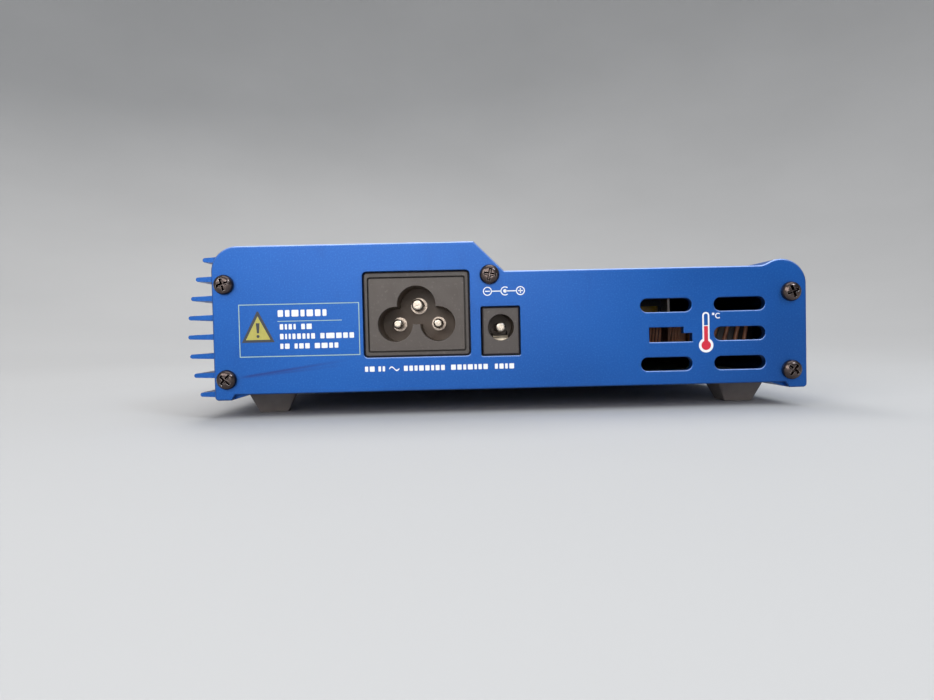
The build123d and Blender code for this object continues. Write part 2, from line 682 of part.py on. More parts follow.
def make_socket():
    """The round handpiece socket: metal shell, insulating insert, contacts and nut."""
    centre = spot(SOCKET_ACROSS, SOCKET_UP)
    contacts = [spot(*at) for at in contact_spots()]
    insert_face = SOCKET_FRONT + SOCKET_BORE_DEPTH
    back = SOCKET_FRONT + SOCKET_LENGTH
    with BuildPart() as shell:
        with BuildSketch(rear_plane(SOCKET_FRONT)):
            with Locations(centre):
                Circle(SOCKET_FLANGE)
        extrude(amount=SOCKET_PROUD)
        chamfer(shell.faces().sort_by(Axis.Y)[0].edges(), 0.7)
        with BuildSketch(rear_plane(FRONT_FACE)):
            with Locations(centre):
                Circle(SOCKET_BARREL)
        extrude(amount=back - FRONT_FACE)
        with BuildSketch(rear_plane(SOCKET_FRONT)):
            with Locations(centre):
                Circle(SOCKET_BORE)
        extrude(amount=SOCKET_BORE_DEPTH, mode=Mode.SUBTRACT)
        with BuildSketch(rear_plane(SOCKET_FRONT)):
            with Locations(centre):
                Circle(SOCKET_SEAT)
        extrude(amount=SOCKET_LENGTH, mode=Mode.SUBTRACT)
        chamfer(shell.faces().sort_by(Axis.Y)[0].inner_wires().edges(), 0.4)
        with BuildSketch(rear_plane(SOCKET_FRONT)):
            with Locations((centre[0], centre[1] + SOCKET_BORE)):
                Rectangle(2.0, 1.8)
        extrude(amount=SOCKET_BORE_DEPTH, mode=Mode.SUBTRACT)
    finish("socket_shell", shell)

    with BuildPart() as insert:
        with BuildSketch(rear_plane(insert_face)):
            with Locations(centre):
                Circle(INSERT_RADIUS)
            with Locations(*contacts):
                Circle(CONTACT_RADIUS, mode=Mode.SUBTRACT)
        extrude(amount=back - insert_face - 1)
    finish("socket_insert", insert)

    with BuildPart() as pieces:
        with BuildSketch(rear_plane(insert_face + 0.6)):
            with Locations(*contacts):
                Circle(CONTACT_RADIUS)
        extrude(amount=back - insert_face - 0.6 + TAIL_PROUD)
        with BuildSketch(rear_plane(insert_face + 0.6)):
            with Locations(*contacts):
                Circle(CONTACT_RADIUS - 0.25)
        extrude(amount=6, mode=Mode.SUBTRACT)
    finish("socket_contacts", pieces)

    with BuildPart() as nut:
        with BuildSketch(rear_plane(CASE_FRONT)):
            with Locations(centre):
                RegularPolygon(NUT_ACROSS_FLATS / 2, 6, major_radius=False)
                Circle(SOCKET_BARREL + 0.05, mode=Mode.SUBTRACT)
        extrude(amount=2.6)
    finish("socket_nut", nut)


# ---- Main board and what stands on it -----------------------------------------------------------------------
BOARD_REAR = inside(0.8)
BOARD_FRONT = CASE_FRONT + 18.0  # clear of the handpiece socket
BOARD_EDGE = 0.3
SHEET_THICK = 0.25

# Places on the board are (across, distance in front of the rear panel).
BULK_CAN = (8.0, 21.0)  # radius and height
BULK_CAN_SPOTS = [(24.0, 60.0), (42.0, 60.0)]
OUTPUT_CAN = (5.0, 15.0)
OUTPUT_CAN_SPOTS = [(102.0, 62.0), (113.5, 62.0), (125.0, 62.0)]
SHEET_ENDS = (8.0, 134.0)
FILM_SPOT = (22.5, 30.0)
FILM_SIZE = (18.0, 8.0, 13.5)  # across, along Y and up, as the sizes below
FUSE_SPOT = (40.0, 31.0)
FUSE_SIZE = (8.0, 8.0, 8.0)
BRIDGE_SPOT = (63.5, 60.2)
BRIDGE_SIZE = (19.0, 3.6, 11.0)
BRIDGE_LIFT = 3.0
BRIDGE_LEG = (1.0, 0.8)
BRIDGE_LEG_PITCH = 5.0
PLATE_SPOT = (110.75, 5.5)
PLATE_SIZE = (0.5, 5.8, 16.5)
PLATE_FLANGE = 5.0  # along the top, towards the fin side


def board_block(at, size, lift=0.0):
    """A box standing on the board, or lifted off it, for use inside a BuildPart."""
    (across, back), (wide, deep, tall) = at, size
    y = inside(back)
    low = BOARD_TOP + lift
    block((across - wide / 2, y - deep / 2, low), (across + wide / 2, y + deep / 2, low + tall))


def make_main_board():
    """The power board, which slides in the case's rails, and the sheet that insulates it from the case."""
    with BuildPart() as board:
        block(
            (WALL + BOARD_EDGE, BOARD_FRONT, BOARD_TOP - BOARD_THICK),
            (CASE_WIDTH - WALL - BOARD_EDGE, BOARD_REAR, BOARD_TOP),
        )
    finish("main_board", board)
    with BuildPart() as sheet:
        block((SHEET_ENDS[0], BOARD_FRONT, WALL), (SHEET_ENDS[1], BOARD_REAR, WALL + SHEET_THICK))
    finish("insulating_sheet", sheet)


def make_capacitors():
    """The reservoir and output capacitors, which stand on the board, and the mains suppression capacitor."""
    cans = (("bulk_capacitors", BULK_CAN, BULK_CAN_SPOTS), ("output_capacitors", OUTPUT_CAN, OUTPUT_CAN_SPOTS))
    for name, (radius, tall), spots in cans:
        with BuildPart() as group:
            with BuildSketch(Plane.XY.offset(BOARD_TOP + FOOT_HEIGHT)):
                with Locations(*[place(across, inside(back), 0)[:2] for across, back in spots]):
                    Circle(radius)
            extrude(amount=tall)
            fillet(group.faces().group_by(Axis.Z)[-1].edges(), 0.8)
        finish(name, group)
    with BuildPart() as box_type:
        board_block(FILM_SPOT, FILM_SIZE)
        fillet(box_type.edges().filter_by(Axis.Z), 0.6)
    finish("suppression_capacitor", box_type)


Choke = namedtuple("Choke", "across back tall inner outer strand arcs")  # arcs: start angle and turn
MAINS_CHOKE = Choke(22.0, 13.5, 8.0, 4.6, 8.2, 1.1, [(15, 140), (195, 140)])
STORAGE_CHOKE = Choke(128.9, 17.5, 7.0, 4.6, 8.2, 1.1, [(180, 299)])
FILTER_CHOKE = Choke(112.4, 15.2, 5.0, 2.9, 5.6, 0.7, [(-80, 340)])


def ring_section(choke, grow, start):
    """Half of the section of a toroid lying flat, grown by a gap, on the plane turned to an angle."""
    middle = place(choke.across, inside(choke.back), BOARD_TOP + choke.strand + choke.tall / 2)
    away = (cos(radians(start)), sin(radians(start)), 0)
    aside = (away[1], -away[0], 0)
    with BuildSketch(Plane(origin=middle, x_dir=away, z_dir=aside)) as section:
        with Locations(((choke.inner + choke.outer) / 2, 0)):
            Rectangle(choke.outer - choke.inner + 2 * grow, choke.tall + 2 * grow)
    return section.sketch, Axis(middle, (0, 0, 1))


def make_chokes(name, chokes):
    """A group of toroid chokes that lie flat: their cores, and their windings as one solid for each arc."""
    with BuildPart() as cores:
        for choke in chokes:
            section, axis = ring_section(choke, 0, 0)
            revolve(section, axis=axis)
    finish(f"{name}_core", cores)
    with BuildPart() as windings:
        for choke in chokes:
            for start, turn in choke.arcs:
                outer, axis = ring_section(choke, choke.strand, start)
                revolve(outer, axis=axis, revolution_arc=turn)
        for choke in chokes:
            section, axis = ring_section(choke, 0, 0)
            revolve(section, axis=axis, mode=Mode.SUBTRACT)
    finish(f"{name}_winding", windings)


TRANSFORMER = (107.2, 34.0)  # across and distance behind the rear panel
CORE_SIZE = (24.0, 10.0, 15.4)  # across, along Y and up
CORE_LEG = 3.5
CORE_POST = 7.0
BOBBIN_WALL = 0.9
BOBBIN_GAP = 0.1  # between the bobbin and the core
FLANGE_PROUD = 0.4  # the bobbin's flanges stand this far out of the winding
WINDING_SIDE = 9.2  # the winding stands this far out of the core's middle, front and rear


def make_transformer():
    """The switching transformer: an upright ferrite core, and the bobbin and winding on its middle post."""
    across, back = TRANSFORMER
    y = inside(back)
    wide, deep, tall = CORE_SIZE
    low = BOARD_TOP + BOBBIN_WALL
    window = (CORE_POST / 2 + BOBBIN_GAP, wide / 2 - CORE_LEG)
    window_low = low + CORE_LEG
    window_high = low + tall - CORE_LEG
    bobbin_low = window_low + BOBBIN_GAP
    bobbin_high = window_high - BOBBIN_GAP
    sleeve = (window[0] + BOBBIN_WALL, deep / 2 + BOBBIN_GAP + BOBBIN_WALL)
    with BuildPart() as core:
        block((across - wide / 2, y - deep / 2, low), (across + wide / 2, y + deep / 2, low + tall))
        for side in (-1, 1):
            block(
                (across + side * window[0], y - deep, window_low),
                (across + side * window[1], y + deep, window_high),
                Mode.SUBTRACT,
            )
    finish("transformer_core", core)

    with BuildPart() as bobbin:
        flange = (window[1] - BOBBIN_GAP, WINDING_SIDE + FLANGE_PROUD)
        base = deep / 2 + BOBBIN_GAP
        block((across - flange[0], y - flange[1], bobbin_low), (across + flange[0], y + flange[1], bobbin_high))
        block(
            (across - flange[0] - 1, y - flange[1] - 1, bobbin_low + BOBBIN_WALL),
            (across + flange[0] + 1, y + flange[1] + 1, bobbin_high - BOBBIN_WALL),
            Mode.SUBTRACT,
        )
        block((across - sleeve[0], y - sleeve[1], bobbin_low), (across + sleeve[0], y + sleeve[1], bobbin_high))
        for side in (-1, 1):
            block(
                (across - flange[0], y + side * base, BOARD_TOP),
                (across + flange[0], y + side * flange[1], bobbin_low + BOBBIN_WALL),
            )
        block((across - window[0], y - base, low), (across + window[0], y + base, low + tall), Mode.SUBTRACT)
    finish("transformer_bobbin", bobbin)

    with BuildPart() as winding:
        with BuildSketch(Plane(place(across, y, bobbin_low + BOBBIN_WALL))):
            RectangleRounded(2 * window[1] - 0.6, 2 * WINDING_SIDE, 4.0)
            Rectangle(2 * sleeve[0] + BOBBIN_GAP, 2 * sleeve[1] + BOBBIN_GAP, mode=Mode.SUBTRACT)
        extrude(amount=bobbin_high - bobbin_low - 2 * BOBBIN_WALL)
    finish("transformer_winding", winding)


def make_small_power_parts():
    """The fuse, the bridge rectifier and the upright cooling plate of the output rectifier."""
    with BuildPart() as fuse:
        board_block(FUSE_SPOT, FUSE_SIZE)
        fillet(fuse.edges().filter_by(Axis.Z), 1.2)
    finish("fuse", fuse)

    with BuildPart() as bridge:
        board_block(BRIDGE_SPOT, BRIDGE_SIZE, BRIDGE_LIFT)
        for i in range(4):
            leg = BRIDGE_SPOT[0] + BRIDGE_LEG_PITCH * (i - 1.5)
            board_block((leg, BRIDGE_SPOT[1]), (*BRIDGE_LEG, BRIDGE_LIFT))
    finish("bridge_rectifier", bridge)

    with BuildPart() as plate:
        thick, deep, tall = PLATE_SIZE
        flange_across = PLATE_SPOT[0] - PLATE_FLANGE / 2
        board_block(PLATE_SPOT, PLATE_SIZE)
        board_block((flange_across, PLATE_SPOT[1]), (PLATE_FLANGE + thick, deep, thick), tall - thick)
    finish("output_heatsink", plate)


# ---- Power transistors on the fin wall ----------------------------------------------------------------------
PAD_FACE = WALL + 0.5
SPREADER_FACE = PAD_FACE + 3.0
SPREADER_UP = (9.6, 23.4)
SPREADER_BACK = (38.0, 118.0)
TRANSISTOR_BACKS = (76.0, 92.0, 108.0)
TAB_UP = 20.2
TAB_THICK = 1.3
TAB_RISE = 3.0  # the tab's hole is this far below its top and above its plastic body
BODY_DROP = 8.8  # and this far above the body's lower end
BODY_THICK = 4.5
BODY_HALF = 5.0
LEAD_PITCH = 2.5
LEAD_OUT = (2.2, 2.8)  # the leads' two sides, from the spreader bar
LEAD_HALF = 0.4
BOLT_BORE = 1.3
BOLT_CLEARANCE = 1.6
LUG_BACK = 46.0
LUG_UP = 14.0
LUG_THICK = 0.8
LUG_RADIUS = 3.2
LUG_TONGUE = (1.4, 5.4)  # half its width and its length up from the hole


def across_hole(face, thick, back, up, radius):
    """A round hole along X through a plate, for use inside a BuildPart."""
    with Locations(Location(place(face + thick / 2, inside(back), up), (0, 90, 0))):
        Cylinder(radius, thick, mode=Mode.SUBTRACT)


def make_heat_path():
    """The pad, the spreader bar and the transistors that the finned wall cools."""
    low, high = SPREADER_UP
    near, far = [inside(back) for back in SPREADER_BACK]
    with BuildPart() as pad:
        block((WALL, far, low), (PAD_FACE, near, high))
    finish("thermal_pad", pad)

    bolts = [(back, TAB_UP, TAB_THICK) for back in TRANSISTOR_BACKS] + [(LUG_BACK, LUG_UP, LUG_THICK)]
    with BuildPart() as spreader:
        block((PAD_FACE, far, low), (SPREADER_FACE, near, high))
        for back, up, _ in bolts:
            across_hole(PAD_FACE, SPREADER_FACE - PAD_FACE, back, up, BOLT_BORE)
    finish("heat_spreader", spreader)

    with BuildPart() as transistors:
        for back in TRANSISTOR_BACKS:
            y = inside(back)
            foot = TAB_UP - BODY_DROP
            far, near = y - BODY_HALF, y + BODY_HALF
            block((SPREADER_FACE, far, foot), (SPREADER_FACE + TAB_THICK, near, TAB_UP + TAB_RISE))
            block((SPREADER_FACE, far, foot), (SPREADER_FACE + BODY_THICK, near, TAB_UP - TAB_RISE))
            for lead in (y - LEAD_PITCH, y, y + LEAD_PITCH):
                block(
                    (SPREADER_FACE + LEAD_OUT[0], lead - LEAD_HALF, BOARD_TOP),
                    (SPREADER_FACE + LEAD_OUT[1], lead + LEAD_HALF, foot),
                )
            across_hole(SPREADER_FACE, TAB_THICK, back, TAB_UP, BOLT_CLEARANCE)
    finish("power_transistors", transistors)

    screw = pan_screw(3.6, head=2.7, shank=1.25, tall=1.8)
    with BuildPart() as screws:
        for back, up, thick in bolts:
            with Locations(Location(place(SPREADER_FACE + thick, inside(back), up), (0, -90, 0))):
                add(screw)
    finish("spreader_screws", screws)


# ---- Inner wiring -------------------------------------------------------------------------------------------
HEADER_HEIGHT = 5.5


def wire(points, bends, *section):
    """A lead of round or flat section along straight runs joined by arcs, for use inside a BuildPart."""
    with BuildLine() as route:
        FilletPolyline(*points, radius=bends)
    with BuildSketch(Plane(origin=route.line @ 0, x_dir=(1, 0, 0), z_dir=route.line % 0)) as outline:
        if len(section) == 2:
            Rectangle(*section)
        else:
            Circle(*section)
    sweep(outline.sketch, path=route.line)


def make_earth_lead():
    """The earth lead, from the inlet's earth pin to a ring lug screwed to the spreader bar."""
    start = INLET_FACE - INLET_DEPTH - TAIL_LENGTH
    up = EARTH_PIN_SPOTS[0][1]
    lug_y = inside(LUG_BACK)
    with BuildPart() as lead:
        wire(
            [
                place(INLET_ACROSS, start, up),
                place(INLET_ACROSS, start - 13, up),
                place(22, lug_y + 7, up + 4.4),
                place(SPREADER_FACE + 4.5, lug_y + 1, 24.6),
                place(SPREADER_FACE + 1.2, lug_y, 18.4),
            ],
            [5.0, 5.0, 2.5],
            0.8,
        )
        with Locations(Location(place(SPREADER_FACE + LUG_THICK / 2, lug_y, LUG_UP), (0, 90, 0))):
            Cylinder(LUG_RADIUS, LUG_THICK)
        half, rise = LUG_TONGUE
        block((SPREADER_FACE, lug_y - half, LUG_UP), (SPREADER_FACE + LUG_THICK, lug_y + half, LUG_UP + rise))
        across_hole(SPREADER_FACE, LUG_THICK, LUG_BACK, LUG_UP, BOLT_CLEARANCE)
    finish("earth_lead", lead)


def make_socket_leads():
    """The handpiece socket's leads and the header that they plug into."""
    start = SOCKET_FRONT + SOCKET_LENGTH + TAIL_PROUD
    header_y = start + 20
    pitch = 2.5
    half = pitch * (CONTACT_COUNT - 1) / 2
    top = BOARD_TOP + HEADER_HEIGHT
    with BuildPart() as leads:
        for i, (across, up) in enumerate(sorted(contact_spots())):
            end = SOCKET_ACROSS - half + pitch * i
            wire(
                [
                    place(across, start, up),
                    place(across, start + 7, up),
                    place(end, header_y, top + 7),
                    place(end, header_y, top),
                ],
                [3.0, 3.0],
                0.6,
            )
    finish("socket_leads", leads)

    with BuildPart() as header:
        block(
            (SOCKET_ACROSS - half - 2, header_y - 2.5, BOARD_TOP),
            (SOCKET_ACROSS + half + 2, header_y + 2.5, top),
        )
    finish("socket_lead_header", header)


def make_control_ribbon():
    """The flat cable between the control board and the main board, with a connector at each end."""
    across = 88.0
    board = CONTROL_FACE + BOARD_THICK
    high = 16.0
    low = BOARD_TOP + HEADER_HEIGHT - 1.5
    wide = 15.0
    with BuildPart() as ribbon:
        wire(
            [
                place(across, board + 2.5, high),
                place(across, board + 8.0, high),
                place(across, board + 17.0, low),
                place(across, board + 22.5, low),
            ],
            [3.0, 3.0],
            wide,
            0.9,
        )
        block((across - 9, board, high - 2.5), (across + 9, board + 2.6, high + 2.5))
        block((across - 9, board + 22.4, BOARD_TOP), (across + 9, board + 28, BOARD_TOP + HEADER_HEIGHT))
    finish("control_ribbon", ribbon)


make_case()
make_rear_panel()
make_screws()
make_inlet_body()
make_inlet_pins()
make_jack_body()
make_jack_contacts()
make_feet()
make_front_panel()
make_keys()
make_control_board()
make_socket()
make_main_board()
make_capacitors()
make_chokes("mains_choke", [MAINS_CHOKE])
make_chokes("output_choke", [STORAGE_CHOKE, FILTER_CHOKE])
make_transformer()
make_small_power_parts()
make_heat_path()
make_earth_lead()
make_socket_leads()
make_control_ribbon()
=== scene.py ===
"""The looks of the soldering station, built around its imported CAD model.

Everything is in metres in the model's own frame: +Z up, +Y out of the rear panel, +X towards the
cooling fins. Places on the end panels are given as (across, up) in millimetres: across runs from the
fin-side wall towards the tray and up runs from the case's underside.
"""

import math
import random

import bmesh
import bpy
from mathutils import Matrix, Vector


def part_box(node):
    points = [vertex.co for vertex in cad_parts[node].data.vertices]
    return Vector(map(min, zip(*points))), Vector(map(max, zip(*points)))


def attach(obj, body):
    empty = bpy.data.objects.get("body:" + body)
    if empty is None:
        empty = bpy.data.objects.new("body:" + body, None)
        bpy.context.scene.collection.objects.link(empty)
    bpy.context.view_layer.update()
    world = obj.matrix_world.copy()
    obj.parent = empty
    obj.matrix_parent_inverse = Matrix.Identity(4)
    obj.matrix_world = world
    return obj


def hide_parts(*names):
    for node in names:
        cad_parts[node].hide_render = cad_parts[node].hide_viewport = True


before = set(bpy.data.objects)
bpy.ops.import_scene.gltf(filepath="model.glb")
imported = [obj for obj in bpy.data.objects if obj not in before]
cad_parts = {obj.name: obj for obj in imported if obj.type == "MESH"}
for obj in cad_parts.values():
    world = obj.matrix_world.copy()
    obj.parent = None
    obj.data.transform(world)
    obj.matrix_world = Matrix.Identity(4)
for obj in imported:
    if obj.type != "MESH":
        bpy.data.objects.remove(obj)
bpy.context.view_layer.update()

MM = 0.001
STATION = "station"
PANEL_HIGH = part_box("rear_panel")[1]
TALL_HEIGHT = 35.4
PANEL_INSET = 0.3
UNDERSIDE = PANEL_HIGH.z - TALL_HEIGHT * MM
FIN_WALL = PANEL_HIGH.x + PANEL_INSET * MM
REAR_FACE = PANEL_HIGH.y
OVERLAY_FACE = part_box("front_overlay")[0].y


# ---- Mesh helpers --------------------------------------------------------------------------------
def spot(across, up, y):
    """A point in the frame from a place on an end panel."""
    return Vector((FIN_WALL - across * MM, y, UNDERSIDE + up * MM))


def add_object(name, data, mat, body=STATION):
    """Adds data as a piece of the model in one of the record's material slots, riding on a body."""
    obj = bpy.data.objects.new(name, data)
    bpy.context.scene.collection.objects.link(obj)
    data.materials.append(mat)
    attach(obj, body)
    return obj


def mesh_from(name, bm, smooth_angle=None):
    """Finishes a bmesh as a mesh, with edges sharper than the angle kept hard."""
    bmesh.ops.recalc_face_normals(bm, faces=bm.faces)
    mesh = bpy.data.meshes.new(name)
    bm.to_mesh(mesh)
    bm.free()
    if smooth_angle is not None:
        mesh.shade_smooth()
        mesh.set_sharp_from_angle(angle=math.radians(smooth_angle))
    return mesh


def circle(centre, radius, count=40, start=0.0, turn=360.0):
    """Points on a circle or an arc. A full circle doesn't repeat its first point."""
    steps = count if turn >= 360 else count - 1
    points = []
    for i in range(count):
        angle = math.radians(start + turn * i / steps)
        points.append((centre[0] + radius * math.cos(angle), centre[1] + radius * math.sin(angle)))
    return points


def arc_band(centre, inner, outer, start=0.0, turn=360.0, count=40):
    """The outline of a band along an arc."""
    there = circle(centre, outer, count, start, min(turn, 359.9))
    back = circle(centre, inner, count, start, min(turn, 359.9))
    return there + back[::-1]


def rectangle(left, low, right, high):
    """The outline of a rectangle."""
    return [(left, low), (right, low), (right, high), (left, high)]


def stroke(start, end, width):
    """The outline of a straight line with square ends."""
    along = (Vector(end) - Vector(start)).normalized() * width / 2
    side = Vector((-along.y, along.x))
    a, b = Vector(start) - along, Vector(end) + along
    return [tuple(p) for p in (a - side, b - side, b + side, a + side)]


def rounded(left, low, right, high, radius, count=8):
    """The outline of a rectangle with round corners."""
    corners = [
        (right - radius, high - radius, 0),
        (left + radius, high - radius, 90),
        (left + radius, low + radius, 180),
        (right - radius, low + radius, 270),
    ]
    return [p for x, y, start in corners for p in circle((x, y), radius, count, start, 90)]


PRINT_RISE = 0.035 * MM
PRINT_SINK = 0.02 * MM


def printed(name, outlines, mat, face, body=STATION):
    """A printed mark: flat outlines (across, up) as a thin film on an end panel or another face."""
    out = 1 if face > 0 else -1
    bm = bmesh.new()
    for outline in outlines:
        low = [bm.verts.new(spot(a, u, face - out * PRINT_SINK)) for a, u in outline]
        high = [bm.verts.new(spot(a, u, face + out * PRINT_RISE)) for a, u in outline]
        bm.faces.new(low)
        bm.faces.new(high)
        for i in range(len(low)):
            j = (i + 1) % len(low)
            bm.faces.new((low[i], low[j], high[j], high[i]))
    return add_object(name, mesh_from(name, bm), mat, body)


# ---- Material helpers ----------------------------------------------------------------------------
SOCKETS = {
    "metallic": "Metallic",
    "roughness": "Roughness",
    "ior": "IOR",
    "coat": "Coat Weight",
    "coat_roughness": "Coat Roughness",
    "glow": "Emission Strength",
}


class Nodes:
    """A material's nodes, with short ways to add and join them."""

    def __init__(self, name):
        self.material = bpy.data.materials.new(name)
        self.material.use_nodes = True
        self.tree = self.material.node_tree
        self.shader = self.tree.nodes["Principled BSDF"]
        self.coordinates = self.tree.nodes.new("ShaderNodeTexCoord").outputs["Object"]

    def add(self, kind, **settings):
        node = self.tree.nodes.new(kind)
        for key, value in settings.items():
            setattr(node, key, value)
        return node

    def join(self, output, socket):
        self.tree.links.new(output, socket)

    def set(self, **values):
        """Constant values for the shader's sockets, such as metallic=1."""
        for key, value in values.items():
            self.shader.inputs[SOCKETS[key]].default_value = value

    def noise(self, scale, detail, stretch=(1, 1, 1)):
        """A soft noise in 0..1. A stretch under 1 draws it out along that axis."""
        mapping = self.add("ShaderNodeMapping")
        mapping.inputs["Scale"].default_value = stretch
        self.join(self.coordinates, mapping.inputs["Vector"])
        noise = self.add("ShaderNodeTexNoise")
        noise.inputs["Scale"].default_value = scale
        noise.inputs["Detail"].default_value = detail
        self.join(mapping.outputs["Vector"], noise.inputs["Vector"])
        return noise.outputs["Fac"]

    def spread(self, value, low, high, start=0.3, end=0.7):
        """Maps start..end of a value to low..high."""
        node = self.add("ShaderNodeMapRange")
        node.inputs["From Min"].default_value = start
        node.inputs["From Max"].default_value = end
        node.inputs["To Min"].default_value = low
        node.inputs["To Max"].default_value = high
        self.join(value, node.inputs["Value"])
        return node.outputs["Result"]

    def mix(self, factor, first, second):
        """A colour between two colours, each a socket or a plain value."""
        node = self.add("ShaderNodeMix", data_type="RGBA")
        # A colour mix uses inputs 0, 6 and 7, and output 2. The others are for numbers and vectors.
        for value, socket in ((factor, 0), (first, 6), (second, 7)):
            if isinstance(value, bpy.types.NodeSocket):
                self.join(value, node.inputs[socket])
            elif socket == 0:
                node.inputs[socket].default_value = value
            else:
                node.inputs[socket].default_value = (*value, 1)
        return node.outputs[2]

    def calc(self, first, second, operation="ADD"):
        """The sum, or another operation, of two sockets or plain values."""
        node = self.add("ShaderNodeMath", operation=operation)
        for value, socket in ((first, 0), (second, 1)):
            if isinstance(value, bpy.types.NodeSocket):
                self.join(value, node.inputs[socket])
            else:
                node.inputs[socket].default_value = value
        return node.outputs[0]

    def edges(self, radius, gain):
        """A mask that is 1 on edges and 0 on flats, from how a bevel would turn the surface there."""
        bevel = self.add("ShaderNodeBevel", samples=6)
        bevel.inputs["Radius"].default_value = radius
        geometry = self.add("ShaderNodeNewGeometry")
        dot = self.add("ShaderNodeVectorMath", operation="DOT_PRODUCT")
        self.join(bevel.outputs["Normal"], dot.inputs[0])
        self.join(geometry.outputs["Normal"], dot.inputs[1])
        return self.spread(self.calc(1.0, dot.outputs["Value"], "SUBTRACT"), 0.0, 1.0, 0.0, 1.0 / gain)

    def bump(self, height, distance, bevel=None):
        """Joins a height in 0..1, of the given size in metres, and if asked a rounding of edges."""
        bump = self.add("ShaderNodeBump")
        bump.inputs["Distance"].default_value = distance
        self.join(height, bump.inputs["Height"])
        if bevel:
            node = self.add("ShaderNodeBevel", samples=6)
            node.inputs["Radius"].default_value = bevel
            self.join(node.outputs["Normal"], bump.inputs["Normal"])
        self.join(bump.outputs["Normal"], self.shader.inputs["Normal"])


def grained(name, color, dark, light, rough, grain, depth, bevel=None, **values):
    """A plain material whose colour goes cloudily from dark to light times color, with a fine grain."""
    n = Nodes(name)
    n.set(**values)
    cloud = n.spread(n.noise(90, 5), 0, 1)
    speck = n.spread(n.noise(grain, 2), 0, 1)
    tones = n.mix(cloud, tuple(c * dark for c in color), tuple(c * light for c in color))
    n.join(tones, n.shader.inputs["Base Color"])
    n.join(n.spread(n.noise(160, 4), rough * 0.85, rough * 1.2), n.shader.inputs["Roughness"])
    n.bump(speck, depth, bevel=bevel)
    return n.material


BLUE = (0.006, 0.092, 0.37)
BLUE_DEEP = (0.004, 0.070, 0.30)
BLUE_SPARKLE = (0.04, 0.22, 0.62)
BLUE_WORN = (0.28, 0.40, 0.70)
# Painted shade, for the two darker streaks on the rear panel.
BLUE_PAINTED_SHADE = (0.012, 0.040, 0.20)
# Painted highlight, for edges that face up.
BLUE_PAINTED_HIGHLIGHT = (0.42, 0.56, 0.90)


def anodised(name, lines, bevel=0.00012, painted_light=False):
    """Blasted and anodised aluminium. lines is how strongly the extrusion's lines show along Y. The last
    argument adds painted shade streaks and a painted highlight on edges that face up.
    """
    n = Nodes(name)
    n.set(metallic=1.0, coat=0.42, coat_roughness=0.30)
    blast = n.noise(5200, 2)
    cloud = n.noise(28, 5)
    tone = n.mix(n.spread(cloud, 0, 1), BLUE_DEEP, BLUE)
    sparkle = n.spread(n.noise(2600, 2), 0, 0.20, 0.50, 0.75)
    tone = n.mix(sparkle, tone, BLUE_SPARKLE)
    wear = n.calc(n.edges(0.00025, 3.0), n.spread(n.noise(420, 4), 0, 1, 0.45, 0.62), "MULTIPLY")
    tone = n.mix(n.calc(wear, 0.35, "MULTIPLY"), tone, BLUE_WORN)
    if painted_light:
        # Painted shade: two darker streaks from the lower screw.
        tone = n.mix(painted_shade_streaks(n), tone, BLUE_PAINTED_SHADE)
        # Painted highlight: edges that face up are lighter, as if lit from above.
        tone = n.mix(n.calc(painted_edge_highlight(n), 0.75, "MULTIPLY"), tone, BLUE_PAINTED_HIGHLIGHT)
    drawn = n.noise(900, 2, (1, 0.006, 1))
    scuffs = n.spread(n.noise(260, 6, (1, 0.12, 0.5)), 0, 0.07, 0.62, 0.75)
    n.join(tone, n.shader.inputs["Base Color"])
    gloss = n.calc(n.spread(cloud, 0.46, 0.54), scuffs)
    n.join(gloss, n.shader.inputs["Roughness"])
    height = n.calc(blast, n.calc(drawn, lines, "MULTIPLY"))
    n.bump(height, 0.000010, bevel=bevel)
    return n.material


def painted_edge_highlight(n):
    """Painted highlight: 1 on edges that face up, such as the lower edges of slots, which get a lighter
    colour as if lit from above.
    """
    bevel = n.add("ShaderNodeBevel", samples=6)
    bevel.inputs["Radius"].default_value = 0.0004
    split = n.add("ShaderNodeSeparateXYZ")
    n.join(bevel.outputs["Normal"], split.inputs[0])
    return n.spread(n.calc(split.outputs["Z"], split.outputs["Y"], "MULTIPLY"), 0, 1, 0.12, 0.45)


def part_of(n, axis):
    """One coordinate of the point that is shaded, in metres."""
    split = n.add("ShaderNodeSeparateXYZ")
    n.join(n.coordinates, split.inputs[0])
    return split.outputs[axis]


# Painted shade: where the two darker streaks start, as (across, up), and their slopes.
SHADE_STREAK_START = (5.8, 4.0)
SHADE_STREAKS = ((0.142, 0.85), (0.100, 0.5))  # slope and strength


def painted_shade_streaks(n):
    """Two faint darker streaks of painted shade that fan out from the lower screw on the fin side."""
    start = spot(*SHADE_STREAK_START, REAR_FACE)
    along = n.calc(start.x, part_of(n, "X"), "SUBTRACT")
    streaks = None
    for slope, strength in SHADE_STREAKS:
        line = n.calc(start.z, n.calc(along, slope, "MULTIPLY"))
        off = n.calc(n.calc(part_of(n, "Z"), line, "SUBTRACT"), 0.0, "ABSOLUTE")
        painted_light = n.spread(off, strength, 0.0, 0.00010, 0.00050)
        streaks = painted_light if streaks is None else n.calc(streaks, painted_light, "MAXIMUM")
    begins = n.spread(along, 0, 1, 0.000, 0.003)
    ends = n.spread(along, 1, 0, 0.012, 0.027)
    return n.calc(streaks, n.calc(begins, ends, "MULTIPLY"), "MULTIPLY")


INLET_CENTRE = (48.85, 18.32)
INLET_FACE = (23.0, 17.6)  # width and height inside the groove


